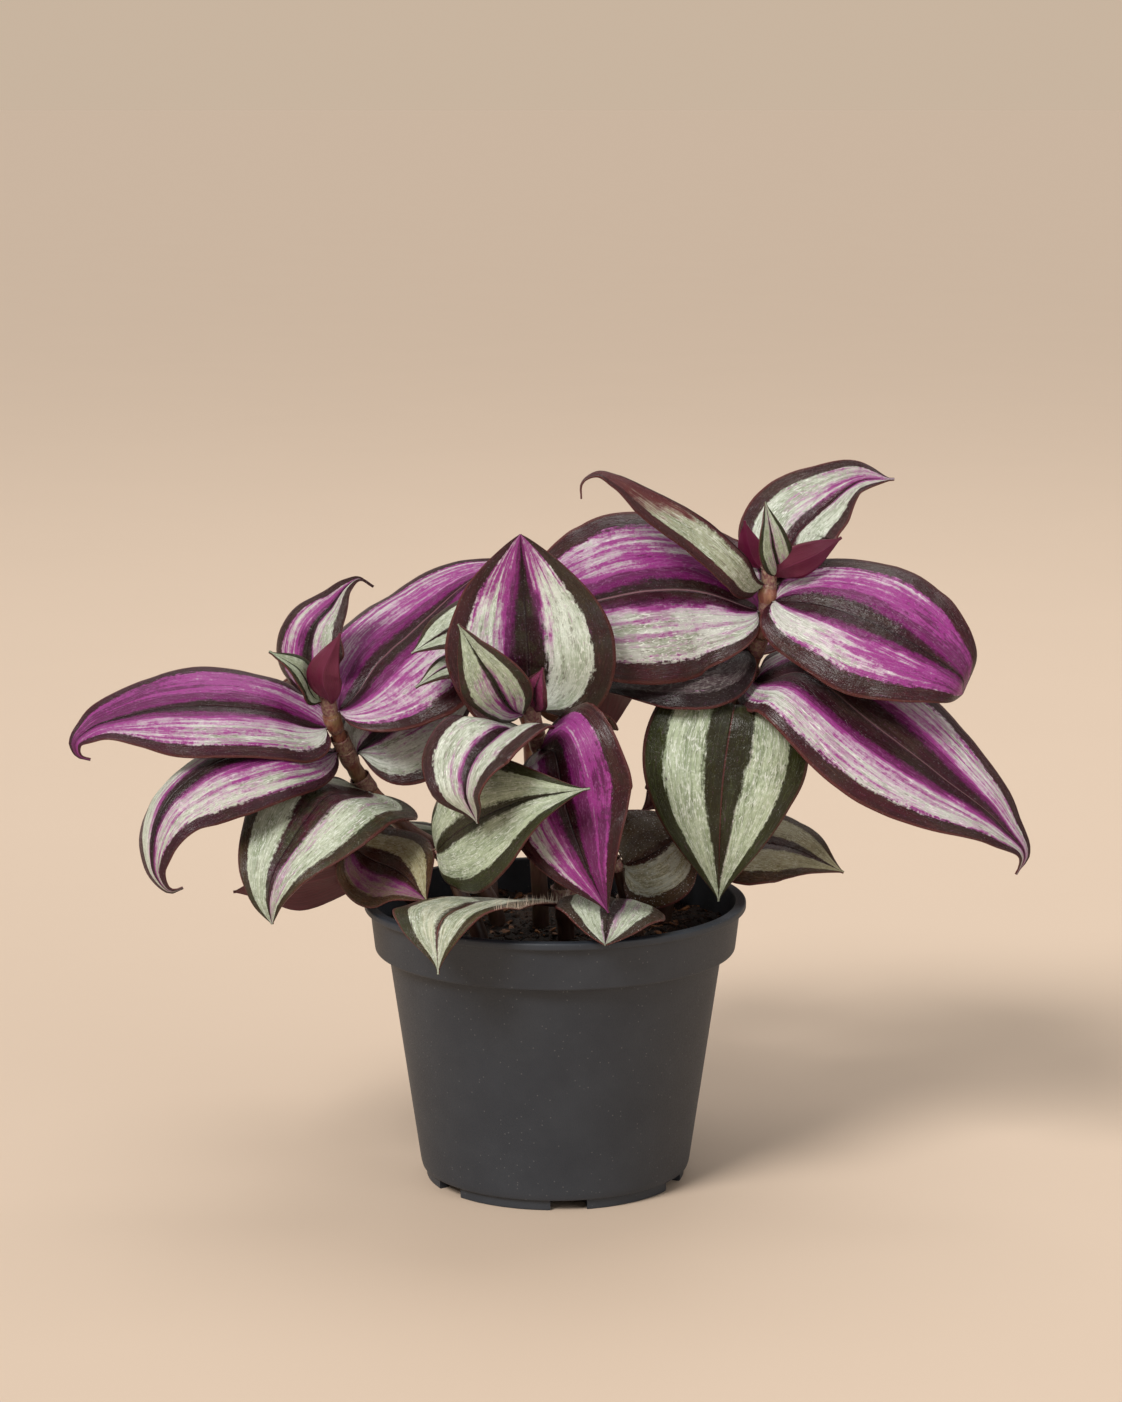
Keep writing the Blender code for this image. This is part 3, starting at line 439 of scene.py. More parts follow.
# at is the place along the stem, off the way out of it, and face the way that the upper side looks
leaves = {
    # left shoot
    "leaf_left_long": dict(
        stem="stem_left", at=0.86, width=34, face=(-10, -62, 78), belly=0.42, taper=1.4, round=0.45, lobe=7,
        finish="magenta", flush=(0.75, 0.4), blushShift=0.6, heartWidth=0.2, tipReach=-0.3, reach=0.8,
        edge=(0.06, 0.006, 0.02),
        route=[
            (-77, -12, 132), (-95, -15, 134), (-114, -18, 132), (-124, -21, 129), (-128, -22, 125),
            (-127, -22, 122), (-124, -22, 121),
        ],
    ),
    "leaf_left_drooping": dict(
        stem="stem_left", at=0.77, off=(-90, -40, 0), width=36, face=(-35, -50, 75), belly=0.4, taper=1.3,
        fold=-2, curl=55, finish="silver", flush=(0.2, 0.38), blushShift=-0.3, heartWidth=0.24, reach=0.83,
        tipReach=-0.6, edge=(0.07, 0.014, 0.03),
        route=[
            (-76, -17, 123), (-93, -24, 119), (-104, -29, 109), (-107, -31, 98), (-106, -31, 91),
            (-102, -31, 87), (-99, -31, 88),
        ],
    ),
    "leaf_left_low": dict(
        stem="stem_left", at=0.6, off=(-20, -100, 0), width=42, face=(-45, -85, 20), belly=0.3, taper=0.95,
        round=0.5, lobe=8, curl=32, clasp=0, finish="sage", flush=(-0.1, 0.1), heartWidth=0.3, reach=0.78,
        fringe=0.05, heart=(0.07, 0.014, 0.026), edge=(0.07, 0.04, 0.02), moss=0.9,
        route=[(-62, -17, 109), (-70, -27, 100), (-75, -33, 91), (-76, -35, 85), (-75, -35, 79)],
    ),
    "leaf_left_inner": dict(
        stem="stem_left", at=0.92, off=(80, -10, 0), width=59, face=(-44, -62, 65), belly=0.36, round=0.5,
        lobe=4, fold=6, curl=40, finish="magenta", flush=(0.42, 0.5), heartWidth=0.2, reach=0.82,
        rib=(0.16, 0.07, 0.09),
        route=[(-47, -4, 145), (-36, 3, 154), (-25, 11, 163), (-9, 17, 170)],
    ),
    "leaf_left_under": dict(
        stem="stem_left", at=0.72, off=(60, 60, 0), width=42, face=(0, -60, 80), finish="silver",
        # partly the leaf's own silver-white and partly painted light: the silver is brightened past the other
        # leaves' to lift it out of the shade it lies in
        silver=(0.62, 0.65, 0.6), flush=(0.16, 0.16), heartWidth=0.14, reach=0.84,
        route=[(-42, 3, 127), (-31, 7, 131), (-20, 9, 135)],
    ),
    "leaf_left_upright": dict(
        stem="stem_left", at=0.94, off=(-30, 95, 0), width=24, face=(-60, -80, 0), belly=0.34, taper=2,
        stalk=0.8, round=1.1, lobe=0, fold=20, curl=50, clasp=0, finish="silver", flush=(0.15, 0.5),
        heartWidth=0.2, tipReach=-0.9,
        route=[
            (-67, -4, 146), (-65, -3, 154), (-60, -2, 160), (-56, -2, 165), (-53, -3, 167), (-49, -4, 165),
        ],
    ),
    "leaf_left_bud": dict(
        stem="stem_left", at=0.96, off=(-95, -40, 0), width=10, face=(30, -60, 70), stalk=0.9, lobe=0,
        fold=30, clasp=0, finish="green", flush=(0, 0), heartWidth=0.1,
        route=[(-69, -18, 145), (-76, -21, 150)],
    ),
    "leaf_left_young": dict(
        stem="stem_left", at=0.95, off=(40, -95, 0), width=10, face=(20, 90, 10), stalk=0.7, round=1, lobe=0,
        fold=35, clasp=0, finish="young", flush=(0.3, 0.3),
        route=[(-62, -19, 143), (-57, -21, 155)],
    ),
    # low left shoot
    "leaf_low_right": dict(
        stem="stem_low_left", at=0.9, off=(60, -30, 0), width=27, face=(5, -85, 50), finish="olive",
        flush=(0.3, 0), heartWidth=0.33, bandPlus=0.4, fringe=0.1,
        route=[(-51, -8, 91), (-42, -17, 89), (-34, -30, 84)],
    ),
    "leaf_low_back": dict(
        stem="stem_low_left", at=0.8, width=21, face=(-10, 75, 66), finish="sage", flush=(0.1, 0.1),
        route=[(-66, -5, 84), (-88, -6, 81)],
    ),
    # centre shoot
    "leaf_centre_heart": dict(
        stem="stem_centre", at=0.92, off=(0, 90, 0), width=47, face=(-14, -98, 20), belly=0.33, taper=0.85,
        # painted highlight: a brighter silver and sage than on the other silver leaves, standing in for the
        # gloss this leaf catches
        lobe=8, clasp=10, finish="silver", silver=(0.6, 0.66, 0.57), sage=(0.3, 0.37, 0.25),
        flush=(0.12, 0.28), blushShift=0.7, heartWidth=0.25, reach=0.73, moss=0.5, mossSide=1,
        route=[(-7, -33, 152), (-8, -32, 167), (-9, -33, 183)],
    ),
    "leaf_centre_left": dict(
        stem="stem_centre", at=0.96, off=(-80, -40, 0), width=20, face=(-40, -85, 30), lobe=0, fold=30,
        finish="green", flush=(0.15, 0.15), blushShift=-0.7, heartWidth=0.14, edge=(0.06, 0.03, 0.02),
        route=[(-17, -43, 148), (-25, -44, 161)],
    ),
    "leaf_centre_fold": dict(
        stem="stem_centre", at=0.87, off=(-70, -70, 0), width=35, face=(-85, -65, -5), belly=0.5, lobe=0,
        fold=34, finish="silver", flush=(0.12, 0.15), heartWidth=0.18,
        route=[(-14, -45, 132), (-21, -50, 126), (-23, -53, 119), (-20, -52, 110)],
    ),
    "leaf_centre_bud": dict(
        stem="stem_centre", at=0.98, off=(50, -80, 0), width=9, face=(-50, -80, 20), lobe=0, fold=30, clasp=0,
        finish="young", flush=(0.2, 0.2), heartWidth=0.15,
        route=[(-5, -41, 143), (-3, -41, 149)],
    ),
    "leaf_centre_down": dict(
        stem="stem_centre", at=0.8, off=(30, -90, 0), width=40, face=(-40, -90, 10), taper=1.2, lobe=0,
        fold=20, finish="magenta", flush=(0.4, 0.8), blushShift=0.4, heartWidth=0.25,
        route=[(0, -43, 127), (3, -46, 113), (8, -50, 99), (14, -51, 86)],
    ),
    # middle shoot
    "leaf_mid_upper": dict(
        stem="stem_mid", at=0.97, width=21, face=(0, -60, 80), finish="sage", flush=(0, 0), heartWidth=0.16,
        route=[(-19, -17, 158), (-29, -20, 155), (-38, -24, 150)],
    ),
    "leaf_mid_lower": dict(
        stem="stem_mid", at=0.88, width=12, face=(0, -60, 80), lobe=1.5, finish="sage", flush=(0.1, 0),
        heartWidth=0.16,
        route=[(-19, -18, 146), (-28, -21, 146), (-37, -25, 141)],
    ),
    "leaf_mid_right": dict(
        stem="stem_mid", at=0.8, width=20, face=(0, 50, 85), taper=0.8, finish="silver", flush=(0.1, 0.1),
        route=[(10, -12, 131), (17, -11, 127)],
    ),
    # front shoots
    "leaf_front_green": dict(
        stem="stem_front_left", at=0.95, off=(0, -90, 0), width=37, face=(0, -90, 40), taper=1.4, lobe=0,
        fold=20, clasp=0, finish="green", flush=(0, 0), heartWidth=0.18,
        route=[(-22, -38, 107), (-6, -54, 117), (9, -61, 121)],
    ),
    "leaf_front_rim": dict(
        stem="stem_centre", at=0.14, off=(-20, -90, 0), width=35, face=(-15, 0, 100), belly=0.66, taper=1.6,
        lobe=0, curl=25, finish="green", flush=(0, 0), heartWidth=0.15, heart=(0.09, 0.035, 0.04),
        silver=(0.5, 0.51, 0.38), edge=(0.075, 0.055, 0.02), rib=(0.2, 0.06, 0.05),
        route=[(-9, -28, 83), (-24, -46, 86), (-30, -59, 84), (-30, -65, 73)],
    ),
    "leaf_front_middle": dict(
        stem="stem_front_right", at=0.35, off=(0, -100, 0), width=30, face=(0, -40, 90), belly=0.6, taper=0.9,
        finish="sage", flush=(0.05, 0.1), sparkle=0.4, heartWidth=0.3,
        route=[(16, -32, 85), (14, -46, 84), (13, -58, 79)],
    ),
    "leaf_front_curled": dict(
        stem="stem_front_right", at=0.9, off=(90, -30, 0), width=30, face=(-10, -90, 40), belly=0.33,
        round=0.45, lobe=4, finish="olive", flush=(0, 0), sparkle=0.45, heartWidth=0.12, bandMinus=0.15,
        silver=(0.4, 0.42, 0.36),
        route=[(25, -15, 93), (32, -13, 97), (39, -8, 101)],
    ),
    # right shoot
    "leaf_right_broad": dict(
        stem="stem_right", at=0.89, off=(-90, -20, 0), width=53, face=(0, -85, 50), belly=0.45, taper=0.9,
        round=0.32, lobe=2, finish="magenta", flush=(0.5, 0.2), heartWidth=0.2, reach=0.78,
        rib=(0.2, 0.1, 0.12),
        route=[(39, -7, 164), (23, -14, 165), (7, -17, 162), (-16, -16, 157)],
    ),
    "leaf_right_under": dict(
        stem="stem_right", at=0.78, width=36, face=(0, -60, 80), finish="dark", flush=(0.05, 0.05),
        route=[(39, -9, 147), (23, -12, 144), (9, -10, 138)],
    ),
    "leaf_right_rolled": dict(
        stem="stem_right", at=0.955, off=(-60, -60, 0), width=20, face=(-10, -42, 90), belly=0.42, taper=1.3,
        stalk=2, round=0.35, lobe=5, fold=-40, curl=20, clasp=0, twist=(0, 55), finish="rolled",
        flush=(0.9, 0.1), blushShift=2.6, heartWidth=0.14, reach=0.74,
        route=[
            (51, -13, 174), (39, -13, 185), (26, -12, 192), (17, -12, 196), (11, -12, 197), (7, -13, 194),
            (7, -14, 190),
        ],
    ),
    "leaf_right_top": dict(
        stem="stem_right", at=0.98, off=(80, 50, 0), width=34, face=(-50, -65, 60), taper=1.4, stalk=3,
        round=0.6, lobe=0, fold=28, curl=25, clasp=0, twist=(0, 0), finish="silver", flush=(-0.02, 0.1),
        blushShift=0.6, heartWidth=0.16, heart=(0.055, 0.008, 0.016),
        route=[(66, 8, 178), (75, 10, 186), (83, 9, 192), (92, 6, 193)],
    ),
    "leaf_right_bud": dict(
        stem="stem_right", at=0.99, off=(60, -80, 0), width=10, face=(20, -90, 10), stalk=0.9, lobe=0,
        fold=36, clasp=0, finish="green", flush=(0.15, 0.1), heartWidth=0.15,
        route=[(58, -12, 178), (56, -12, 189)],
    ),
    "leaf_right_young": dict(
        stem="stem_right", at=1, off=(-90, 5, 0), width=7, face=(20, 90, 10), stalk=0.7, lobe=0, fold=30,
        clasp=0, finish="young", flush=(0.3, 0.3),
        route=[(52, -4, 177), (51, -4, 183)],
    ),
    "leaf_right_outer": dict(
        stem="stem_right", at=0.92, off=(80, -60, 0), width=44, face=(10, -80, 60), belly=0.45, taper=0.8,
        lobe=7, finish="magenta", flush=(0.45, 0.62), blushShift=0.7, heartWidth=0.27,
        route=[(71, -11, 161), (87, -18, 156), (100, -22, 149), (108, -22, 143), (109, -17, 138)],
    ),
    "leaf_right_long": dict(
        stem="stem_right", at=0.7, off=(80, -60, 0), width=44, face=(35, -75, 55), belly=0.45, taper=1.3,
        round=0.45, lobe=6, finish="magenta", flush=(0.3, 0.35), heartWidth=0.38, reach=0.82,
        rib=(0.14, 0.07, 0.08), tipReach=-0.3,
        route=[
            (66, -14, 143), (84, -22, 131), (103, -27, 117), (119, -29, 104), (125, -29, 96), (123, -28, 91),
        ],
    ),
    "leaf_right_hanging": dict(
        stem="stem_right", at=0.62, off=(-20, -95, 0), width=46, face=(0, -98, 20), belly=0.4, taper=1.2,
        finish="green", flush=(-0.05, 0.02), heartWidth=0.33, rib=(0.08, 0.02, 0.02),
        route=[(48, -16, 134), (45, -22, 117), (44, -23, 96), (44, -21, 82)],
    ),
    "leaf_right_small": dict(
        stem="stem_right", at=0.24, width=30, face=(20, -60, 80), finish="olive", flush=(0, 0),
        route=[(50, 4, 93), (64, 0, 92), (79, -4, 86)],
    ),
    "leaf_right_back": dict(
        stem="stem_right", at=0.45, width=32, face=(-30, 60, 70), finish="dark", flush=(0.1, 0.1),
        route=[(38, 10, 110), (31, 15, 104), (24, 16, 99)],
    ),
    # back shoots
    "leaf_back_left_wide": dict(
        stem="stem_back_left", at=0.9, width=36, face=(-10, 30, 95), finish="magenta", flush=(0.5, 0.4),
        route=[(-58, 68, 134), (-77, 76, 123), (-92, 84, 109)],
    ),
    "leaf_back_left_side": dict(
        stem="stem_back_left", at=0.72, width=32, face=(-20, -20, 95), finish="silver", flush=(0.2, 0.25),
        route=[(-52, 45, 126), (-68, 40, 124), (-84, 38, 112)],
    ),
    "leaf_back_left_high": dict(
        stem="stem_back_left", at=0.98, width=26, face=(10, 60, 80), lobe=2, fold=30, finish="silver",
        flush=(0.15, 0.3),
        route=[(-34, 70, 148), (-28, 84, 150), (-26, 96, 142)],
    ),
    "leaf_back_left_hanging": dict(
        stem="stem_back_left", at=0.55, width=34, face=(-20, 90, 40), stalk=1, lobe=0, clasp=0, finish="sage",
        flush=(0.1, 0.1),
        route=[(-36, 62, 114), (-43, 78, 110), (-46, 88, 97)],
    ),
    "leaf_back_left_low": dict(
        stem="stem_back_left", at=0.3, width=26, face=(-30, 20, 90), finish="green", flush=(0, 0.05),
        route=[(-40, 40, 90), (-58, 44, 89), (-74, 48, 80)],
    ),
    "leaf_back_centre_right": dict(
        stem="stem_back_centre", at=0.86, width=34, face=(10, 30, 95), finish="silver", flush=(0.3, 0.2),
        route=[(18, 58, 150), (32, 62, 147), (46, 68, 137)],
    ),
    "leaf_back_centre_left": dict(
        stem="stem_back_centre", at=0.97, width=30, face=(-10, 30, 95), fold=24, finish="silver",
        flush=(0.2, 0.3),
        route=[(-6, 70, 155), (-16, 84, 154), (-22, 102, 143)],
    ),
    "leaf_back_centre_hanging": dict(
        stem="stem_back_centre", at=0.74, width=38, face=(10, 85, 50), finish="sage", flush=(0.15, 0.05),
        route=[(6, 66, 136), (8, 84, 128), (10, 98, 108), (10, 102, 94)],
    ),
    "leaf_back_centre_low": dict(
        stem="stem_back_centre", at=0.35, width=26, face=(0, 40, 90), finish="green", flush=(0.05, 0),
        route=[(6, 56, 98), (8, 72, 94), (8, 84, 84)],
    ),
    "leaf_back_right_wide": dict(
        stem="stem_back_right", at=0.93, width=38, face=(20, 20, 95), finish="magenta", flush=(0.45, 0.55),
        route=[(66, 60, 148), (82, 66, 150), (100, 72, 140)],
    ),
    "leaf_back_right_side": dict(
        stem="stem_back_right", at=0.78, width=32, face=(20, -10, 95), finish="silver", flush=(0.25, 0.2),
        route=[(62, 46, 134), (78, 42, 135), (94, 40, 126)],
    ),
    "leaf_back_right_tall": dict(
        stem="stem_back_right", at=0.98, width=28, face=(10, 60, 80), lobe=2, fold=28, finish="silver",
        flush=(0.25, 0.3), blushShift=0.4,
        route=[(54, 66, 150), (58, 82, 152), (62, 98, 142)],
    ),
    "leaf_back_right_hanging": dict(
        stem="stem_back_right", at=0.62, width=36, face=(30, 85, 40), finish="silver", flush=(0.15, 0.15),
        route=[(52, 60, 122), (58, 76, 114), (60, 88, 96)],
    ),
    "leaf_back_right_low": dict(
        stem="stem_back_right", at=0.25, width=26, face=(20, 30, 90), finish="green", flush=(0.05, 0.05),
        route=[(46, 46, 88), (56, 58, 86), (64, 70, 78)],
    ),
}


# curves that stems and midribs follow
def unit(vector):
    vector = np.array(vector, float)
    return vector / np.linalg.norm(vector)


def lengths(points):  # the distance from the first point to each
    return np.concatenate([[0], np.cumsum(np.linalg.norm(np.diff(points, axis=0), axis=1))])


def readAt(where, spots, points):  # points, or one point, between those of a line
    return np.stack([np.interp(where, spots, points[:, k]) for k in range(3)], axis=-1)


def smoothRoute(points, count, start=None):  # even points on a smooth curve through the given ones
    knots = np.array(points, float)
    spans = np.linalg.norm(np.diff(knots, axis=0), axis=1)
    slopes = np.diff(knots, axis=0) / spans[:, None]
    middle = slopes[:-1] * spans[1:, None] + slopes[1:] * spans[:-1, None]
    middle /= (spans[:-1] + spans[1:])[:, None]
    slopes = np.vstack([slopes[:1] if start is None else [start], middle, slopes[-1:]])
    finePoints, pointsEach = [], 24
    for i, span in enumerate(spans):
        for u in np.linspace(0, 1, pointsEach, endpoint=i == len(spans) - 1):
            finePoints.append(
                knots[i] * (1 + 2 * u) * (1 - u) ** 2
                + slopes[i] * span * u * (1 - u) ** 2
                + knots[i + 1] * u**2 * (3 - 2 * u)
                + slopes[i + 1] * span * u**2 * (u - 1)
            )
    travel = lengths(finePoints)
    return readAt(np.linspace(0, travel[-1], count), travel, np.array(finePoints))


def turned(vector, axis, angle):
    return (
        vector * math.cos(angle)
        + np.cross(axis, vector) * math.sin(angle)
        + axis * np.dot(axis, vector) * (1 - math.cos(angle))
    )


def stemRoute(name):
    x, y, z = stemPaths[name][0]
    steps = stemShape["steps"]
    route = smoothRoute([(x, y, z - stemShape["depth"]), (x, y, z - 5), *stemPaths[name]], steps + 1)
    return route, stemShape["depth"] / lengths(route)[-1]


def stemRadius(share):
    return stemShape["radius"] + (stemShape["tipRadius"] - stemShape["radius"]) * share**2


def nodeSwell(share, nodes):
    return stemShape["swell"] * max([math.exp(-(((share - node) * 20) ** 2)) for node in nodes])


# leaves
def leafMidrib(p, steps=60):
    stem, buried = stemRoute(p["stem"])
    index = round((buried + (1 - buried) * p["at"]) * stemShape["steps"])
    axis = stem[index]
    stemAlong = unit(stem[min(index + 1, stemShape["steps"])] - stem[index - 1])
    first = np.array(p["route"][0], float)
    outward = np.array(p.get("off", first - axis), float)
    outward = unit(outward - stemAlong * np.dot(outward, stemAlong))
    base = axis + outward * (stemRadius(p["at"]) + stemShape["swell"] + baseStandoff)
    points = smoothRoute([tuple(base), *p["route"]], steps + 1, unit(outward + unit(first - base)))
    tangents = [unit(points[min(i + 1, steps)] - points[max(i - 1, 0)]) for i in range(steps + 1)]
    middle = steps * 2 // 5
    normals = [None] * (steps + 1)
    normals[middle] = np.array(p["face"], float)
    for i in [middle, *range(middle + 1, steps + 1), *range(middle - 1, -1, -1)]:
        near = normals[middle] if i == middle else normals[i - 1 if i > middle else i + 1]
        normals[i] = unit(near - tangents[i] * np.dot(near, tangents[i]))
    share = np.linspace(0, 1, steps + 1)
    atFoot, atTip = p["twist"]
    for i in range(steps + 1):
        twist = atFoot * max(0, 1 - 2.5 * share[i]) + atTip * max(0, 1.67 * share[i] - 0.67)
        normals[i] = turned(normals[i], tangents[i], math.radians(twist))
    sides = np.cross(tangents, normals)
    return SimpleNamespace(share=share, points=points, sides=sides, faces=np.array(normals), outward=outward)


def halfWidth(p, t):
    if t < p["belly"]:
        shape = math.sin(math.pi / 2 * t / p["belly"]) ** p["round"]
    else:
        shape = max(0.0, math.cos(math.pi / 2 * (t - p["belly"]) / (1 - p["belly"]))) ** p["taper"]
    return max(p["width"] / 2 * shape, p["stalk"] * (1 - t) + 0.35 * t)


def bladeRow(p, rib, t, lanes, seed):  # a row of points across the blade, from minus margin to plus margin
    at = readAt(t, rib.share, rib.points)
    side = unit(readAt(t, rib.share, rib.sides))
    face = unit(readAt(t, rib.share, rib.faces))
    width = halfWidth(p, t)
    fold = math.radians(p["fold"] + p["clasp"] * max(0.0, 1 - t / 0.25) ** 2) * min(1.0, (1 - t) / 0.2)
    curl = max(math.radians(p["curl"]) * min(1.0, 2.5 * (1 - t), 0.4 + 4 * t), 1e-3)
    span = np.abs(lanes)
    out = width * (math.sin(fold) - np.sin(fold - curl * span)) / curl
    rise = width * (np.cos(fold - curl * span) - math.cos(fold)) / curl
    fade = min(1.0, 6 * t * (1 - t)) * min(1.0, width / 8)
    phase = 2 * math.pi * p["waves"] * t + np.where(lanes > 0, 0, 1.9) + seed
    rise = rise + p["wave"] * span**3 * np.sin(phase) * fade
    dents = [
        noise.noise(Vector((t * 7, s * 2.6, seed * 3.7))) + 0.5 * noise.noise(Vector((t * 19, s * 5, seed)))
        for s in lanes
    ]
    rise = rise + p["pucker"] * np.array(dents) * fade
    near = min(1.0, t / 0.4)
    back = p["lobe"] * lanes**2 * 6.75 * near * (1 - near) ** 2
    tangent = np.cross(face, side)
    sign = np.where(lanes >= 0, 1, -1)
    return at + side * (out * sign)[:, None] + face * rise[:, None] - tangent * back[:, None]


# rows for a leaf longer than this, and lanes in each half of a leaf wider than this
bladeMesh = dict(rows=((45, 72), (22, 48), (0, 28)), lanes=((25, 15), (12, 10), (0, 6)), wall=0.45, sunk=0.6)


def makeLeaf(name, leaf, seed, underside):
    p = {**leafDefaults, **leaf}
    rib = leafMidrib(p)
    rows = next(count for least, count in bladeMesh["rows"] if lengths(rib.points)[-1] > least)
    half = next(count for least, count in bladeMesh["lanes"] if p["width"] > least)
    lanes = np.linspace(-1, 1, 2 * half + 1)
    stations = [0.5 - 0.5 * math.cos(math.pi * (i / rows) ** 0.95) for i in range(rows + 1)]
    grid = [bladeRow(p, rib, t, lanes, seed) for t in stations]
    grid.insert(0, grid[0] - rib.outward * bladeMesh["sunk"])  # the first row meets the stem
    shares = [0.0, 0.004, *stations[1:]]
    faces = bands(len(grid), len(lanes), closed=False)
    piece = addMesh(name + "_blade", np.vstack(grid), faces, bladeMaterial(name, p, seed * 7.31))
    piece.data.materials.append(underside)
    layer = piece.data.uv_layers.new(name="blade")
    for loop in piece.data.loops:
        row, lane = divmod(loop.vertex_index, len(lanes))
        layer.data[loop.index].uv = (shares[row], 0.5 + 0.5 * lanes[lane])
    piece = thicken(piece, bladeMesh["wall"], material_offset=1, material_offset_rim=0)
    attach(piece, "root")
    if name in stemmed:
        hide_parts(name)
    return np.array(grid)


undersides = {name: undersideMaterial(name, seed) for seed, name in enumerate(undersideTones, 1)}
# most leaves are wine red below
undersideOf = dict(
    right_cup="magenta", leaf_left_young="magenta", leaf_right_young="magenta", leaf_right_top="magenta",
    leaf_mid_right="tan",
)
stemmed = list(leaves)
# the top leaf's foot curls over on itself and shows its magenta underside round the bud
leaves["right_cup"] = dict(
    stem="stem_right", at=0.985, off=(20, -98, 0), width=10, face=(-10, 88, 30), belly=0.4, stalk=2.2,
    round=0.5, lobe=0, fold=16, curl=20, clasp=0, finish="young",
    route=[(63, -9.5, 171.5), (69, -9, 174), (77, -5, 178.5)],
)
grids = {}
for number, (name, leaf) in enumerate(leaves.items(), 1):
    grids[name] = makeLeaf(name, leaf, number * 1.0, undersides[undersideOf.get(name, "wine")])
print("leaves:", len(leaves))


# stems, swept along their routes by one Geometry Nodes tree
def stemTubeTree():
    tree, given = geometryTree("stemTube", sides=20)
    ring = putNode(tree, "GeometryNodeCurvePrimitiveCircle", {"Resolution": given.sides, "Radius": mm})
    sockets = {"Curve": given.Geometry, "Profile Curve": ring.outputs["Curve"], "Fill Caps": True}
    sweep = putNode(tree, "GeometryNodeCurveToMesh", sockets)
    thickness = putNode(tree, "GeometryNodeInputRadius")
    feed(tree, sweep.inputs["Scale"], thickness.outputs[0])
    smooth = putNode(tree, "GeometryNodeSetShadeSmooth", {"Geometry": sweep.outputs[0]})
    return finishTree(tree, smooth.outputs[0], given)


def stemMaterial():
    material, shader, surface = blankMaterial("stem_skin")
    stretch = putNode(surface.tree, "ShaderNodeMapping", {"Vector": surface, "Scale": (1, 1, 0.22)})
    streak = grainNoise(Value(stretch.outputs[0]), 900.0, 1.0)
    blotch = grainNoise(surface, 140.0, 4.0)
    height = splitXyz(surface)[2]
    colour = blendColours(ramp(streak, 0.3, 0.75), (0.17, 0.04, 0.035), (0.36, 0.17, 0.1))
    colour = blendColours(ramp(blotch, 0.48, 0.72, 0.0, 0.6), colour, (0.27, 0.24, 0.1))
    # painted shade: the stems darken from about 120 mm down past the rim, where the pot holds them in shadow
    colour = blendColours(ramp(height, 0.078, 0.12, 0.85, 0.0), colour, (0.022, 0.012, 0.008))
    coat(shader, colour, ramp(streak, 0.2, 0.8, 0.32, 0.5), streak, 0.25, 0.3)
    return material


def makeStem(name, nodes, tree, material):
    route, buried = stemRoute(name)
    steps = stemShape["steps"]
    curve = bpy.data.curves.new(name + "_tube", "CURVE")
    curve.dimensions = "3D"
    line = curve.splines.new("POLY")
    line.points.add(steps)
    for step, point in enumerate(line.points):
        share = max(0.0, (step / steps - buried) / (1 - buried))
        # the ring below a sheath
        joint = stemShape["joint"] * sum(math.exp(-(((share - node) * 70 + 4) ** 2)) for node in nodes)
        radius = stemRadius(share) + nodeSwell(share, nodes) * 0.8 + joint
        point.co = (*(route[step] * mm), 1)
        point.radius = radius * min(1.0, 0.35 + (steps - step) * 0.22)  # rounded off at the tip
    piece = applyTree(addObject(name + "_tube", curve), tree, sides=stemShape["sides"], material=material)
    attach(piece, "root")
    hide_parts(name)


def hairTree():
    tree, given = geometryTree(
        "hairFringe", shortest=0.4, longest=1.0, seed=1, sides=3, thickness=0.03, tilt=0.3,
    )
    sockets = {"Vertices": given.sides, "Radius Bottom": given.thickness, "Depth": 1.0}
    spike = putNode(tree, "GeometryNodeMeshCone", sockets)
    roots = putNode(tree, "GeometryNodeMeshToPoints", {"Mesh": given.Geometry})
    aim = putNode(tree, "GeometryNodeInputNamedAttribute", {"Name": "hairAim"}, data_type="FLOAT_VECTOR")
    sockets = {0: (-1, -1, -1), 1: (1, 1, 1), "Seed": given.seed}
    stray = putNode(tree, "FunctionNodeRandomValue", sockets, data_type="FLOAT_VECTOR")
    sockets = {0: stray.outputs[0], "Scale": given.tilt}
    lean = putNode(tree, "ShaderNodeVectorMath", sockets, operation="SCALE")
    way = putNode(tree, "ShaderNodeVectorMath", {0: aim.outputs[0], 1: lean.outputs[0]}, operation="ADD")
    stand = putNode(tree, "FunctionNodeAlignRotationToVector", {"Vector": way.outputs[0]}, axis="Z")
    sockets = {2: given.shortest, 3: given.longest, "Seed": given.seed}
    size = putNode(tree, "FunctionNodeRandomValue", sockets, data_type="FLOAT")
    sockets = {0: (mm, mm, mm), "Scale": size.outputs[1]}
    length = putNode(tree, "ShaderNodeVectorMath", sockets, operation="SCALE")
    place = putNode(tree, "GeometryNodeInstanceOnPoints", {
        "Points": roots.outputs[0], "Instance": spike.outputs["Mesh"], "Rotation": stand.outputs[0],
        "Scale": length.outputs[0],
    })
    return finishTree(tree, place.outputs[0], given)


def makeHairs(name, roots, aims, tree, material, **values):
    piece = addMesh(name, roots, [], material)
    layer = piece.data.attributes.new("hairAim", "FLOAT_VECTOR", "POINT")
    layer.data.foreach_set("vector", np.ravel(aims))
    piece = applyTree(piece, tree, material=material, **values)
    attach(piece, "root")


def hairMaterial():
    material, shader, surface = blankMaterial("hair_skin")
    tone = blendColours(grainNoise(surface, 900.0), (0.36, 0.28, 0.22), (0.62, 0.54, 0.44))
    feed(surface.tree, shader.inputs["Base Color"], tone)
    shader.inputs["Roughness"].default_value = 0.5
    return material


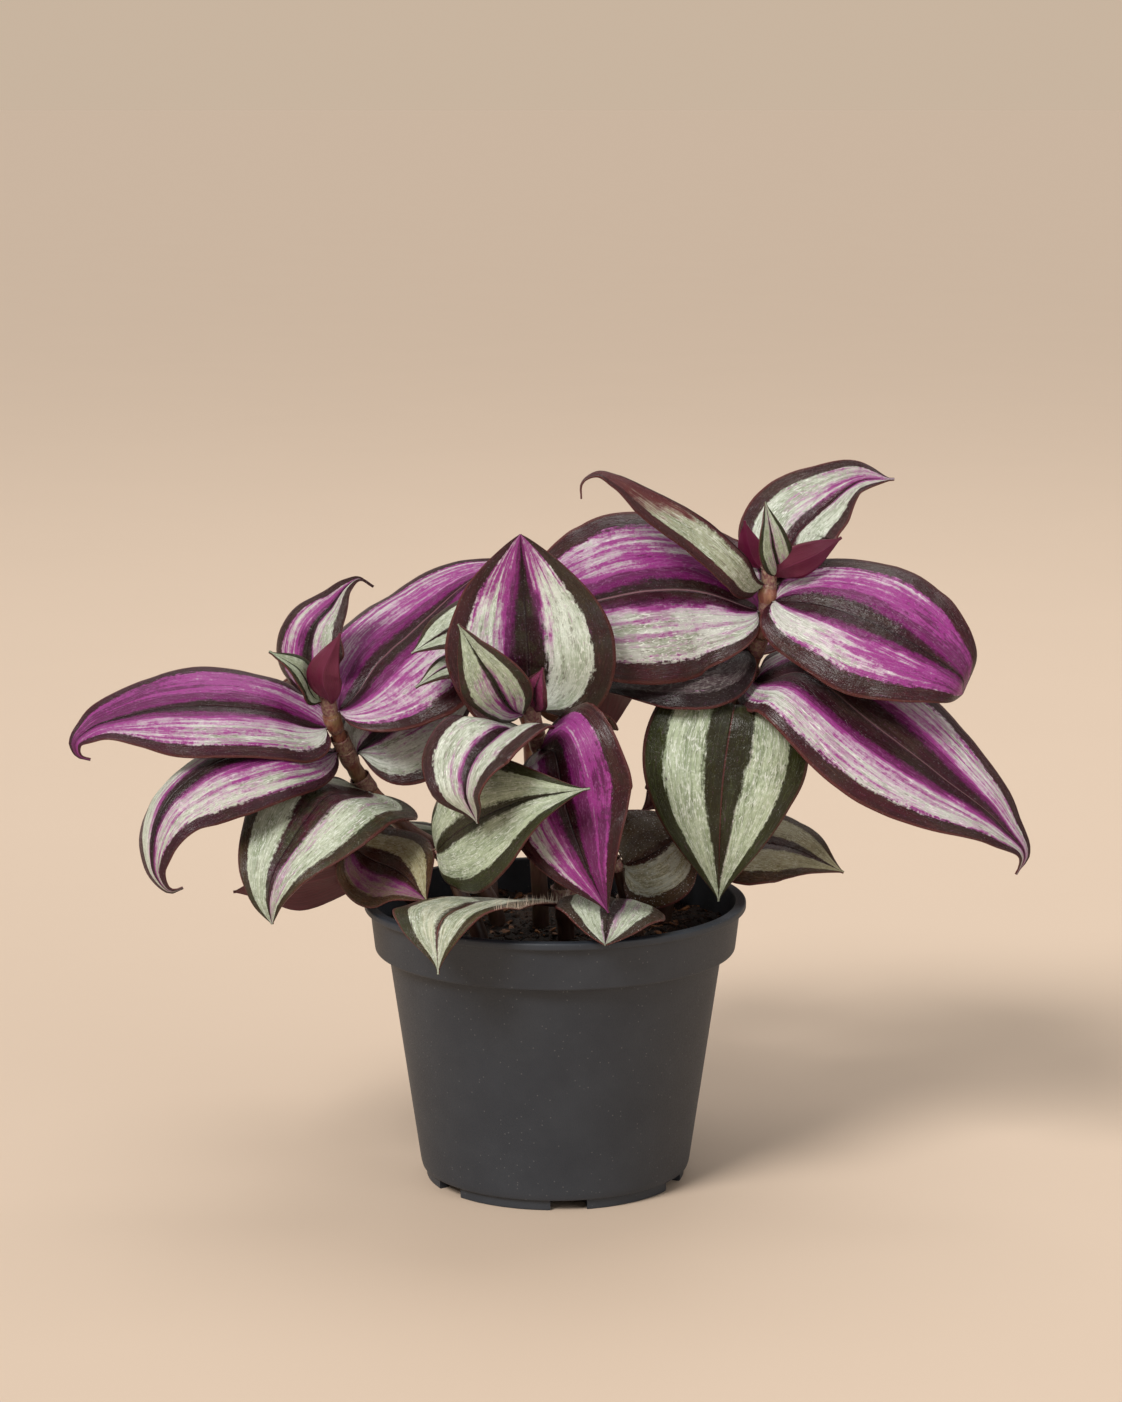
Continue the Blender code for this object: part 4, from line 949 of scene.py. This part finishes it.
def sheathMaterial():
    material, shader, surface = blankMaterial("sheath_skin")
    streak = grainNoise(surface, 1300.0, 3.0)
    colour = blendColours(ramp(streak, 0.35, 0.7), (0.17, 0.05, 0.06), (0.34, 0.24, 0.16))
    coat(shader, colour, ramp(streak, 0.2, 0.8, 0.35, 0.55), streak, 0.3, 0.2)
    return material


sheathShape = dict(below=1.5, above=4.0, gap=0.25, flare=0.55, rows=7, sides=20, wall=0.22)


def makeSheath(name, stem, node, material):  # a thin flared collar that wraps the stem at a leaf's foot
    s = sheathShape
    line, buried = stemRoute(stem)
    travel = lengths(line)
    centre = (buried + node * (1 - buried)) * travel[-1]
    angles = np.linspace(0, 2 * math.pi, s["sides"], endpoint=False)
    rings = []
    for row in range(s["rows"] + 1):
        share = row / s["rows"]
        reach = min(centre - s["below"] + share * (s["below"] + s["above"]), travel[-1] - 0.2)
        at = readAt(reach, travel, line)
        axis = unit(readAt(min(reach + 0.5, travel[-1]), travel, line) - readAt(reach - 0.5, travel, line))
        side = unit(np.cross(axis, (0.3, 1, 0.1)))
        other = np.cross(axis, side)
        along = max(0.0, (reach / travel[-1] - buried) / (1 - buried))
        swell = s["gap"] * min(1.0, share * 5) + s["flare"] * share**3
        lip = 1 + (0.06 * np.sin(3 * angles + node * 9) if row == s["rows"] else 0 * angles)
        radius = (stemRadius(along) + nodeSwell(along, [node]) * 0.8 + swell) * lip
        ring = np.cos(angles)[:, None] * side + np.sin(angles)[:, None] * other
        rings.append(at + radius[:, None] * ring)
    piece = addMesh(name + "_sheath", np.vstack(rings), bands(len(rings), s["sides"], closed=True), material)
    piece = thicken(piece, s["wall"])
    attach(piece, "root")
    return rings[-1], axis


stemTube = stemTubeTree()
stemSkin = stemMaterial()
for name in stemPaths:
    makeStem(name, [leaf["at"] for leaf in leaves.values() if leaf["stem"] == name], stemTube, stemSkin)
hairFringe = hairTree()
hairSkin = hairMaterial()
sheathSkin = sheathMaterial()
hairRoots, hairAims = [], []
for name in stemmed:
    mouth, axis = makeSheath(name, leaves[name]["stem"], leaves[name]["at"], sheathSkin)
    for first, second in zip(mouth, np.roll(mouth, -1, axis=0)):
        for share in (0.0, 0.5):
            hairRoots.append(first + (second - first) * share)
            hairAims.append(unit(axis + 0.5 * unit(first - mouth.mean(axis=0))))
makeHairs("sheath_hairs", hairRoots, hairAims, hairFringe, hairSkin, shortest=0.5, longest=1.5, seed=4)
# the leaf over the rim has a row of upright hairs along the margin that lies higher
rimHairs = dict(leaf="leaf_front_rim", first=0.06, last=0.66, count=130)
rimLeaf = grids[rimHairs["leaf"]]
margin = rimLeaf[:, max((0, -1), key=lambda side: rimLeaf[20, side, 2])]
shares = np.linspace(rimHairs["first"], rimHairs["last"], rimHairs["count"]) * (len(margin) - 1)
hairRoots = readAt(shares, range(len(margin)), margin)
makeHairs(
    "rim_leaf_hairs", hairRoots, [(0, 0.15, 1)] * len(hairRoots), hairFringe, hairSkin,
    shortest=1.2, longest=3.4, thickness=0.035, seed=9,
)
print("stems:", len(stemPaths))

# pot: a turned shell, with its foot notches and drain holes cut by Geometry Nodes
potShape = dict(
    rim=52.5, height=78, wall=1.3, drainRadius=4, footHeight=3, footRadius=35.8, footWall=2.6,
    bottomRadius=37.2, topRadius=46, collarBottom=49.6, collarTop=50.9, collarHeight=13.6, lipHeight=2,
    sides=160, sharpAngle=38,
)
potCuts = dict(
    count=6, firstNotch=-84, notchWidth=10, notchHeight=2.9, notchDepth=8, drainRadius=4, drainCircle=25,
    drainDepth=4, drainSides=40,
)


def filleted(corners):  # (radius, height, fillet) corners to points, with each corner rounded
    points = []
    for i, (radius, height, fillet) in enumerate(corners):
        here = np.array([radius, height], float)
        if fillet == 0:
            points.append(here)
            continue
        before = unit(np.array(corners[i - 1][:2]) - here) * fillet
        after = unit(np.array(corners[(i + 1) % len(corners)][:2]) - here) * fillet
        for u in (0, 0.25, 0.5, 0.75, 1):
            points.append(here + before * (1 - u) ** 2 + after * u**2)
    return points


def turnedMesh(name, points, sides, material, closed=True, lift=None):
    shape = bmesh.new()
    verts = [shape.verts.new((radius * mm, 0, height * mm)) for radius, height in points]
    pairs = list(zip(verts, verts[1:] + verts[:1])) if closed else list(zip(verts, verts[1:]))
    edges = [shape.edges.new(pair) for pair in pairs]
    turn = dict(cent=(0, 0, 0), axis=(0, 0, 1), angle=2 * math.pi, steps=sides, use_merge=True)
    bmesh.ops.spin(shape, geom=verts + edges, **turn)
    # the turned faces come in no fixed order, and bits are later scattered face by face
    shape.verts.index_update()
    numbers = {face: [vert.index for vert in face.verts] for face in shape.faces}
    shape.faces.sort(key=lambda face: min(numbers[face]) * len(shape.verts) + max(numbers[face]))
    bmesh.ops.remove_doubles(shape, verts=shape.verts, dist=1e-6)
    bmesh.ops.recalc_face_normals(shape, faces=shape.faces)
    if lift:
        for vert in shape.verts:
            vert.co.z += lift(*(c / mm for c in vert.co)) * mm
    mesh = bpy.data.meshes.new(name)
    shape.to_mesh(mesh)
    shape.free()
    mesh.shade_smooth()
    mesh.materials.append(material)
    return addObject(name, mesh)


def potCutTree():
    tree, given = geometryTree(
        "footNotchesAndDrains", count=6, turn=0.0, notch=(0.01, 0.01, 0.01), notchCircle=0.036,
        drainRadius=0.004, drainDepth=0.004, drainSides=40, drainCircle=0.025, drainHeight=0.0036,
    )

    def ringOf(shape, circle, angle, height):  # the shape at even steps round a circle
        path = putNode(tree, "GeometryNodeMeshCircle", {"Vertices": given.count, "Radius": circle})
        position = putNode(tree, "GeometryNodeInputPosition")
        heading = putNode(tree, "FunctionNodeAlignEulerToVector", {"Vector": position.outputs[0]}, axis="X")
        sockets = {"Points": path.outputs[0], "Instance": shape, "Rotation": heading.outputs[0]}
        spots = putNode(tree, "GeometryNodeInstanceOnPoints", sockets)
        turn = putNode(tree, "ShaderNodeCombineXYZ", {2: angle})
        lift = putNode(tree, "ShaderNodeCombineXYZ", {2: height})
        sockets = {"Geometry": spots.outputs[0], "Rotation": turn.outputs[0], "Translation": lift.outputs[0]}
        return putNode(tree, "GeometryNodeTransform", sockets).outputs[0]

    notch = putNode(tree, "GeometryNodeMeshCube", {"Size": given.notch}).outputs[0]
    sockets = {"Vertices": given.drainSides, "Radius": given.drainRadius, "Depth": given.drainDepth}
    drain = putNode(tree, "GeometryNodeMeshCylinder", sockets).outputs[0]
    cutter = putNode(tree, "GeometryNodeJoinGeometry")
    feed(tree, cutter.inputs[0], ringOf(notch, given.notchCircle, given.turn, 0.0))
    between = given.turn + math.pi / given.count
    feed(tree, cutter.inputs[0], ringOf(drain, given.drainCircle, between, given.drainHeight))
    real = putNode(tree, "GeometryNodeRealizeInstances", {0: cutter.outputs[0]})
    cut = putNode(tree, "GeometryNodeMeshBoolean", operation="DIFFERENCE", solver="EXACT")
    feed(tree, cut.inputs["Mesh 1"], given.Geometry)
    feed(tree, cut.inputs["Mesh 2"], real.outputs[0])
    return finishTree(tree, cut.outputs[0], given)


def potMaterial():
    material, shader, surface = blankMaterial("pot_plastic")
    mottle = grainNoise(surface, 60.0, 1.0)
    fine = grainNoise(surface, 2600.0, 2.0, 2.0)
    speck = putNode(surface.tree, "ShaderNodeTexVoronoi", {"Vector": surface, "Scale": 900.0}, feature="F1")
    chosen = putNode(surface.tree, "ShaderNodeSeparateColor", {0: speck.outputs["Color"]})
    light = ramp(Value(speck.outputs["Distance"]), 0.1, 0.22, 1.0, 0.0)
    light = light * calc("GREATER_THAN", Value(chosen.outputs[0]), 0.8)
    colour = blendColours(ramp(mottle, 0.3, 0.7), (0.018, 0.023, 0.032), (0.026, 0.032, 0.042))
    colour = blendColours(light * 0.3, colour, (0.22, 0.22, 0.22))
    coat(shader, colour, ramp(fine, 0.3, 0.7, 0.48, 0.62), fine + mottle * 0.6, 0.3, 0.12)
    return material


def makePot():
    p, c = SimpleNamespace(**potShape), SimpleNamespace(**potCuts)
    collarFoot = p.height - p.collarHeight
    floorTop = p.footHeight + p.wall
    corners = [
        (p.footRadius - p.footWall, p.footHeight, 0.3), (p.footRadius - p.footWall, 0, 0.4),
        (p.footRadius, 0, 0.5), (p.footRadius, p.footHeight, 0.25),
        (p.bottomRadius - 0.3, p.footHeight, 0.4), (p.bottomRadius + 0.15, p.footHeight + 1.6, 0.8),
        (p.topRadius, collarFoot, 0.35), (p.collarBottom - 0.05, collarFoot, 0.75),
        (p.collarTop, p.height - p.lipHeight, 0.4), (p.rim, p.height - p.lipHeight, 0.45),
        (p.rim, p.height, 0.7), (p.collarTop - p.wall, p.height, 0.5),
        (p.collarBottom - p.wall, collarFoot + p.wall, 0.5), (p.topRadius - p.wall, collarFoot + p.wall, 0.5),
        (p.bottomRadius + 0.4 - p.wall, floorTop, 1.4), (p.drainRadius, floorTop, 0.3),
        (p.drainRadius, p.footHeight, 0.3),
    ]
    plastic = potMaterial()
    pot = applyTree(
        turnedMesh("pot_shell", filleted(corners), p.sides, plastic), potCutTree(), material=plastic,
        count=c.count, turn=math.radians(c.firstNotch), notchCircle=p.footRadius * mm,
        notch=(c.notchDepth * mm, c.notchWidth * mm, 2 * c.notchHeight * mm), drainRadius=c.drainRadius * mm,
        drainDepth=c.drainDepth * mm, drainSides=c.drainSides, drainCircle=c.drainCircle * mm,
        drainHeight=(p.footHeight + p.wall / 2) * mm,
    )
    pot.data.shade_smooth()
    pot.data.set_sharp_from_angle(angle=math.radians(p.sharpAngle))
    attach(pot, "root")
    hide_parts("pot")


makePot()
print("pot: 1")

# potting mix: an uneven crumbly top, with crumbs, bark chips and fibres lying on it
mixShape = dict(top=69, bump=0.9, edge=48.0, rings=60, sides=170, clump=0.75, lowestBit=67.2)


def mixLift(x, y, z):  # how far a point of the mix's top is raised
    p = mixShape
    if z <= p["top"] - 1.5:
        return 0
    waves = math.sin(x * 0.21 + 1.3) * math.cos(y * 0.17) + 0.6 * math.sin(x * 0.43 - y * 0.37)
    fall = min(1.0, max(0.0, (p["edge"] - math.hypot(x, y)) / 3))
    clump = noise.noise(Vector((x * 0.35, y * 0.35, 2.0)))
    clump += 0.7 * noise.noise(Vector((x * 0.9, y * 0.9, 7.0)))
    return p["bump"] * waves + p["clump"] * clump * (0.4 + 0.6 * fall)


def makeMix(material):
    p = mixShape
    corners = [(0, 4.6), (34.5, 4.6), (36.1, 6), (44.4, 66), (p["edge"], 66), (p["edge"], p["top"] - 0.8)]
    corners += [(p["edge"] * (1 - i / p["rings"]), p["top"]) for i in range(1, p["rings"] + 1)]
    piece = turnedMesh("potting_mix_top", corners, p["sides"], material, closed=False, lift=mixLift)
    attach(piece, "root")
    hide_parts("soil")
    return piece


def scatterTree():
    tree, given = geometryTree(
        "lieOnMix", density=1000.0, lowest=0.067, smallest=0.6, largest=1.4, seed=1, bits="Collection",
    )
    spot = putNode(tree, "GeometryNodeInputPosition")
    sockets = {0: splitXyz(Value(spot.outputs[0]))[2], 1: given.lowest}
    onTop = putNode(tree, "FunctionNodeCompare", sockets, data_type="FLOAT", operation="GREATER_THAN")
    points = putNode(tree, "GeometryNodeDistributePointsOnFaces", {
        "Mesh": given.Geometry, "Selection": onTop.outputs[0], "Density": given.density, "Seed": given.seed,
    })
    sockets = {"Collection": given.bits, "Separate Children": True, "Reset Children": True}
    source = putNode(tree, "GeometryNodeCollectionInfo", sockets)
    sockets = {0: (-0.5, -0.5, 0), 1: (0.5, 0.5, 6.283), "Seed": given.seed}
    turn = putNode(tree, "FunctionNodeRandomValue", sockets, data_type="FLOAT_VECTOR")
    sockets = {2: given.smallest, 3: given.largest, "Seed": given.seed}
    size = putNode(tree, "FunctionNodeRandomValue", sockets, data_type="FLOAT")
    lay = putNode(tree, "GeometryNodeInstanceOnPoints", {
        "Points": points.outputs["Points"], "Instance": source.outputs[0], "Pick Instance": True,
        "Rotation": turn.outputs[0], "Scale": size.outputs[1],
    })
    return finishTree(tree, lay.outputs[0], given)


def crumb(seed):
    shape = bmesh.new()
    bmesh.ops.create_icosphere(shape, subdivisions=1, radius=0.62)
    for vert in shape.verts:
        vert.co *= 1 + 0.8 * noise.noise(vert.co * 1.7 + Vector((seed * 5.0, 0, 0)))
    corners, faces = [tuple(v.co) for v in shape.verts], [[v.index for v in f.verts] for f in shape.faces]
    shape.free()
    return corners, faces


def barkChip(seed):  # a torn flake
    steps, width, thick = 5, 1.1, 0.35
    length = 2.4 + 1.3 * noise.noise(Vector((seed, 0, 0)))
    corners = []
    for i in range(steps + 1):
        x = (i / steps - 0.5) * length
        wide = width * (0.35 + 0.65 * math.sin(math.pi * (0.1 + 0.8 * i / steps)))
        wide *= 1 + 0.6 * noise.noise(Vector((seed, i, 2)))
        bend = 0.35 * noise.noise(Vector((seed, i * 0.6, 5)))
        for y, z in ((-wide / 2, 0), (wide / 2, 0.1), (wide / 2, thick), (-wide / 2, thick * 0.8)):
            corners.append((x, y + bend, z + bend * 0.6))
    return corners, bands(steps + 1, 4, closed=True) + [(3, 2, 1, 0), tuple(steps * 4 + k for k in range(4))]


def fibre(seed):  # a thin curled thread of peat or root
    steps, corners = 9, []
    for i in range(steps + 1):
        t = i / steps
        y = 2.8 * noise.noise(Vector((seed, t * 2, 0)))
        z = 0.3 + 1.1 * abs(noise.noise(Vector((seed, t * 2.5, 4))))
        radius = 0.11 * (1 - 0.7 * abs(2 * t - 1))
        for angle in (0, 2 * math.pi / 3, 4 * math.pi / 3):
            corners.append((t * 6 - 3, y + radius * math.cos(angle), z + radius * math.sin(angle)))
    return corners, bands(steps + 1, 3, closed=True) + [(2, 1, 0), tuple(steps * 3 + k for k in range(3))]


def bitCollection(name, shapes):  # source shapes for a scatter, kept out of the scene
    collection = bpy.data.collections.new(name)
    for number, (corners, faces) in enumerate(shapes):
        mesh = bpy.data.meshes.new(f"{name}_{number}")
        mesh.from_pydata([tuple(c * mm for c in corner) for corner in corners], [], faces)
        mesh.shade_flat()
        collection.objects.link(bpy.data.objects.new(mesh.name, mesh))
    return collection


def mixMaterial(name, dark, light, scale, rough=0.85):
    material, shader, surface = blankMaterial(name)
    clod = grainNoise(surface, scale, 1.0, 5.0, 0.7)
    tint = grainNoise(surface, scale * 0.23, 5.0)
    colour = blendColours(ramp(clod, 0.35, 0.72), dark, light)
    colour = blendColours(ramp(tint, 0.35, 0.7, 0.0, 0.6), colour, tuple(c * 0.35 for c in dark))
    coat(shader, colour, ramp(clod, 0.2, 0.8, rough - 0.12, rough + 0.1), clod, 0.9, 0.6)
    return material


# density for each square metre, smallest and largest scale of a bit, seed, number of shapes and colours
mixBits = dict(
    crumbs=dict(
        shapeOf=crumb, shapes=5, density=300000.0, smallest=0.45, largest=1.5, seed=3,
        skin=("mix_crumbs", (0.01, 0.005, 0.003), (0.075, 0.032, 0.014), 700.0),
    ),
    chips=dict(
        shapeOf=barkChip, shapes=6, density=26000.0, smallest=0.7, largest=1.7, seed=11,
        skin=("bark_chips", (0.07, 0.025, 0.009), (0.4, 0.16, 0.045), 420.0, 0.7),
    ),
    fibres=dict(
        shapeOf=fibre, shapes=6, density=14000.0, smallest=0.6, largest=1.3, seed=23,
        skin=("peat_fibres", (0.08, 0.04, 0.02), (0.2, 0.12, 0.07), 300.0, 0.8),
    ),
)
mix = makeMix(mixMaterial("potting_mix", (0.009, 0.005, 0.003), (0.04, 0.018, 0.008), 900.0))
lieOnMix = scatterTree()
for kind, p in mixBits.items():
    shapes = [p["shapeOf"](number + 1) for number in range(p["shapes"])]
    bits = addObject("mix_" + kind, mix.data.copy())
    bits.data.materials.clear()
    bits = applyTree(
        bits, lieOnMix, bits=bitCollection("bit_" + kind, shapes), material=mixMaterial(*p["skin"]),
        lowest=mixShape["lowestBit"] * mm, density=p["density"], seed=p["seed"],
        smallest=p["smallest"], largest=p["largest"],
    )
    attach(bits, "root")
print("potting mix:", 1 + len(mixBits))

# floor, light and camera
studio = dict(
    floorSize=60.0, floorColour=(0.63, 0.5, 0.39), roomColour=(0.386, 0.361, 0.332),
    backdrop=(0.58, 0.46, 0.35), aim=(0, 0, 0.1), cameraPlace=(0.0016, -0.95, 0.301), pitchDown=10.03,
    lens=90.9,
)
# the sun's size is its width across the sky in radians, the others' is in metres
lamps = {
    "key_light": dict(kind="SUN", place=(-0.95, -1.2, 1.5), size=0.4, power=2.9, tint=(1, 0.97, 0.93)),
    "fill_light": dict(kind="AREA", place=(1.3, -1.3, 0.8), size=1.2, power=6, tint=(0.97, 0.98, 1)),
    "top_light": dict(kind="AREA", place=(0.2, 0.7, 1.7), size=1.2, power=10, tint=(1, 0.98, 0.95)),
}


def makeFloor():
    material, shader, surface = blankMaterial("floor_paint")
    low = tuple(c * 0.97 for c in studio["floorColour"])
    tone = blendColours(grainNoise(surface, 8.0, 1.0), low, studio["floorColour"])
    feed(surface.tree, shader.inputs["Base Color"], tone)
    shader.inputs["Roughness"].default_value = 0.6
    half = studio["floorSize"] / 2
    mesh = bpy.data.meshes.new("floor")
    corners = [(-half, -half, 0), (half, -half, 0), (half, half, 0), (-half, half, 0)]
    mesh.from_pydata(corners, [], [(0, 1, 2, 3)])
    mesh.materials.append(material)
    floor = addObject("floor", mesh)


def makeLamp(name, lamp):
    light = bpy.data.lights.new(name, lamp["kind"])
    if lamp["kind"] == "SUN":
        light.angle = lamp["size"]
    else:
        light.shape = "DISK"
        light.size = lamp["size"]
    light.energy = lamp["power"]
    light.color = lamp["tint"]
    item = addObject(name, light)
    item.location = lamp["place"]
    away = Vector(lamp["place"]) - Vector(studio["aim"])
    item.rotation_euler = away.to_track_quat("Z", "Y").to_euler()


def makeRoom():  # seen by the camera, the room takes the far floor's own tone
    world = bpy.data.worlds.new("pale_room")
    bpy.context.scene.world = world
    world.use_nodes = True
    tree = world.node_tree
    seen = Value(putNode(tree, "ShaderNodeLightPath").outputs["Is Camera Ray"])
    background = tree.nodes["Background"]
    feed(tree, background.inputs["Color"], blendColours(seen, studio["roomColour"], studio["backdrop"]))
    background.inputs["Strength"].default_value = 1.0


def makeCamera():
    camera = addObject("camera", bpy.data.cameras.new("camera"))
    camera.data.sensor_fit = "VERTICAL"
    camera.data.sensor_height = 36
    camera.data.lens = studio["lens"]
    camera.location = studio["cameraPlace"]
    camera.rotation_euler = (math.radians(90 - studio["pitchDown"]), 0, 0)
    bpy.context.scene.camera = camera


makeFloor()
for name, lamp in lamps.items():
    makeLamp(name, lamp)
makeRoom()
makeCamera()
bpy.context.scene.view_settings.view_transform = "Standard"
print("floor, lights and camera set")
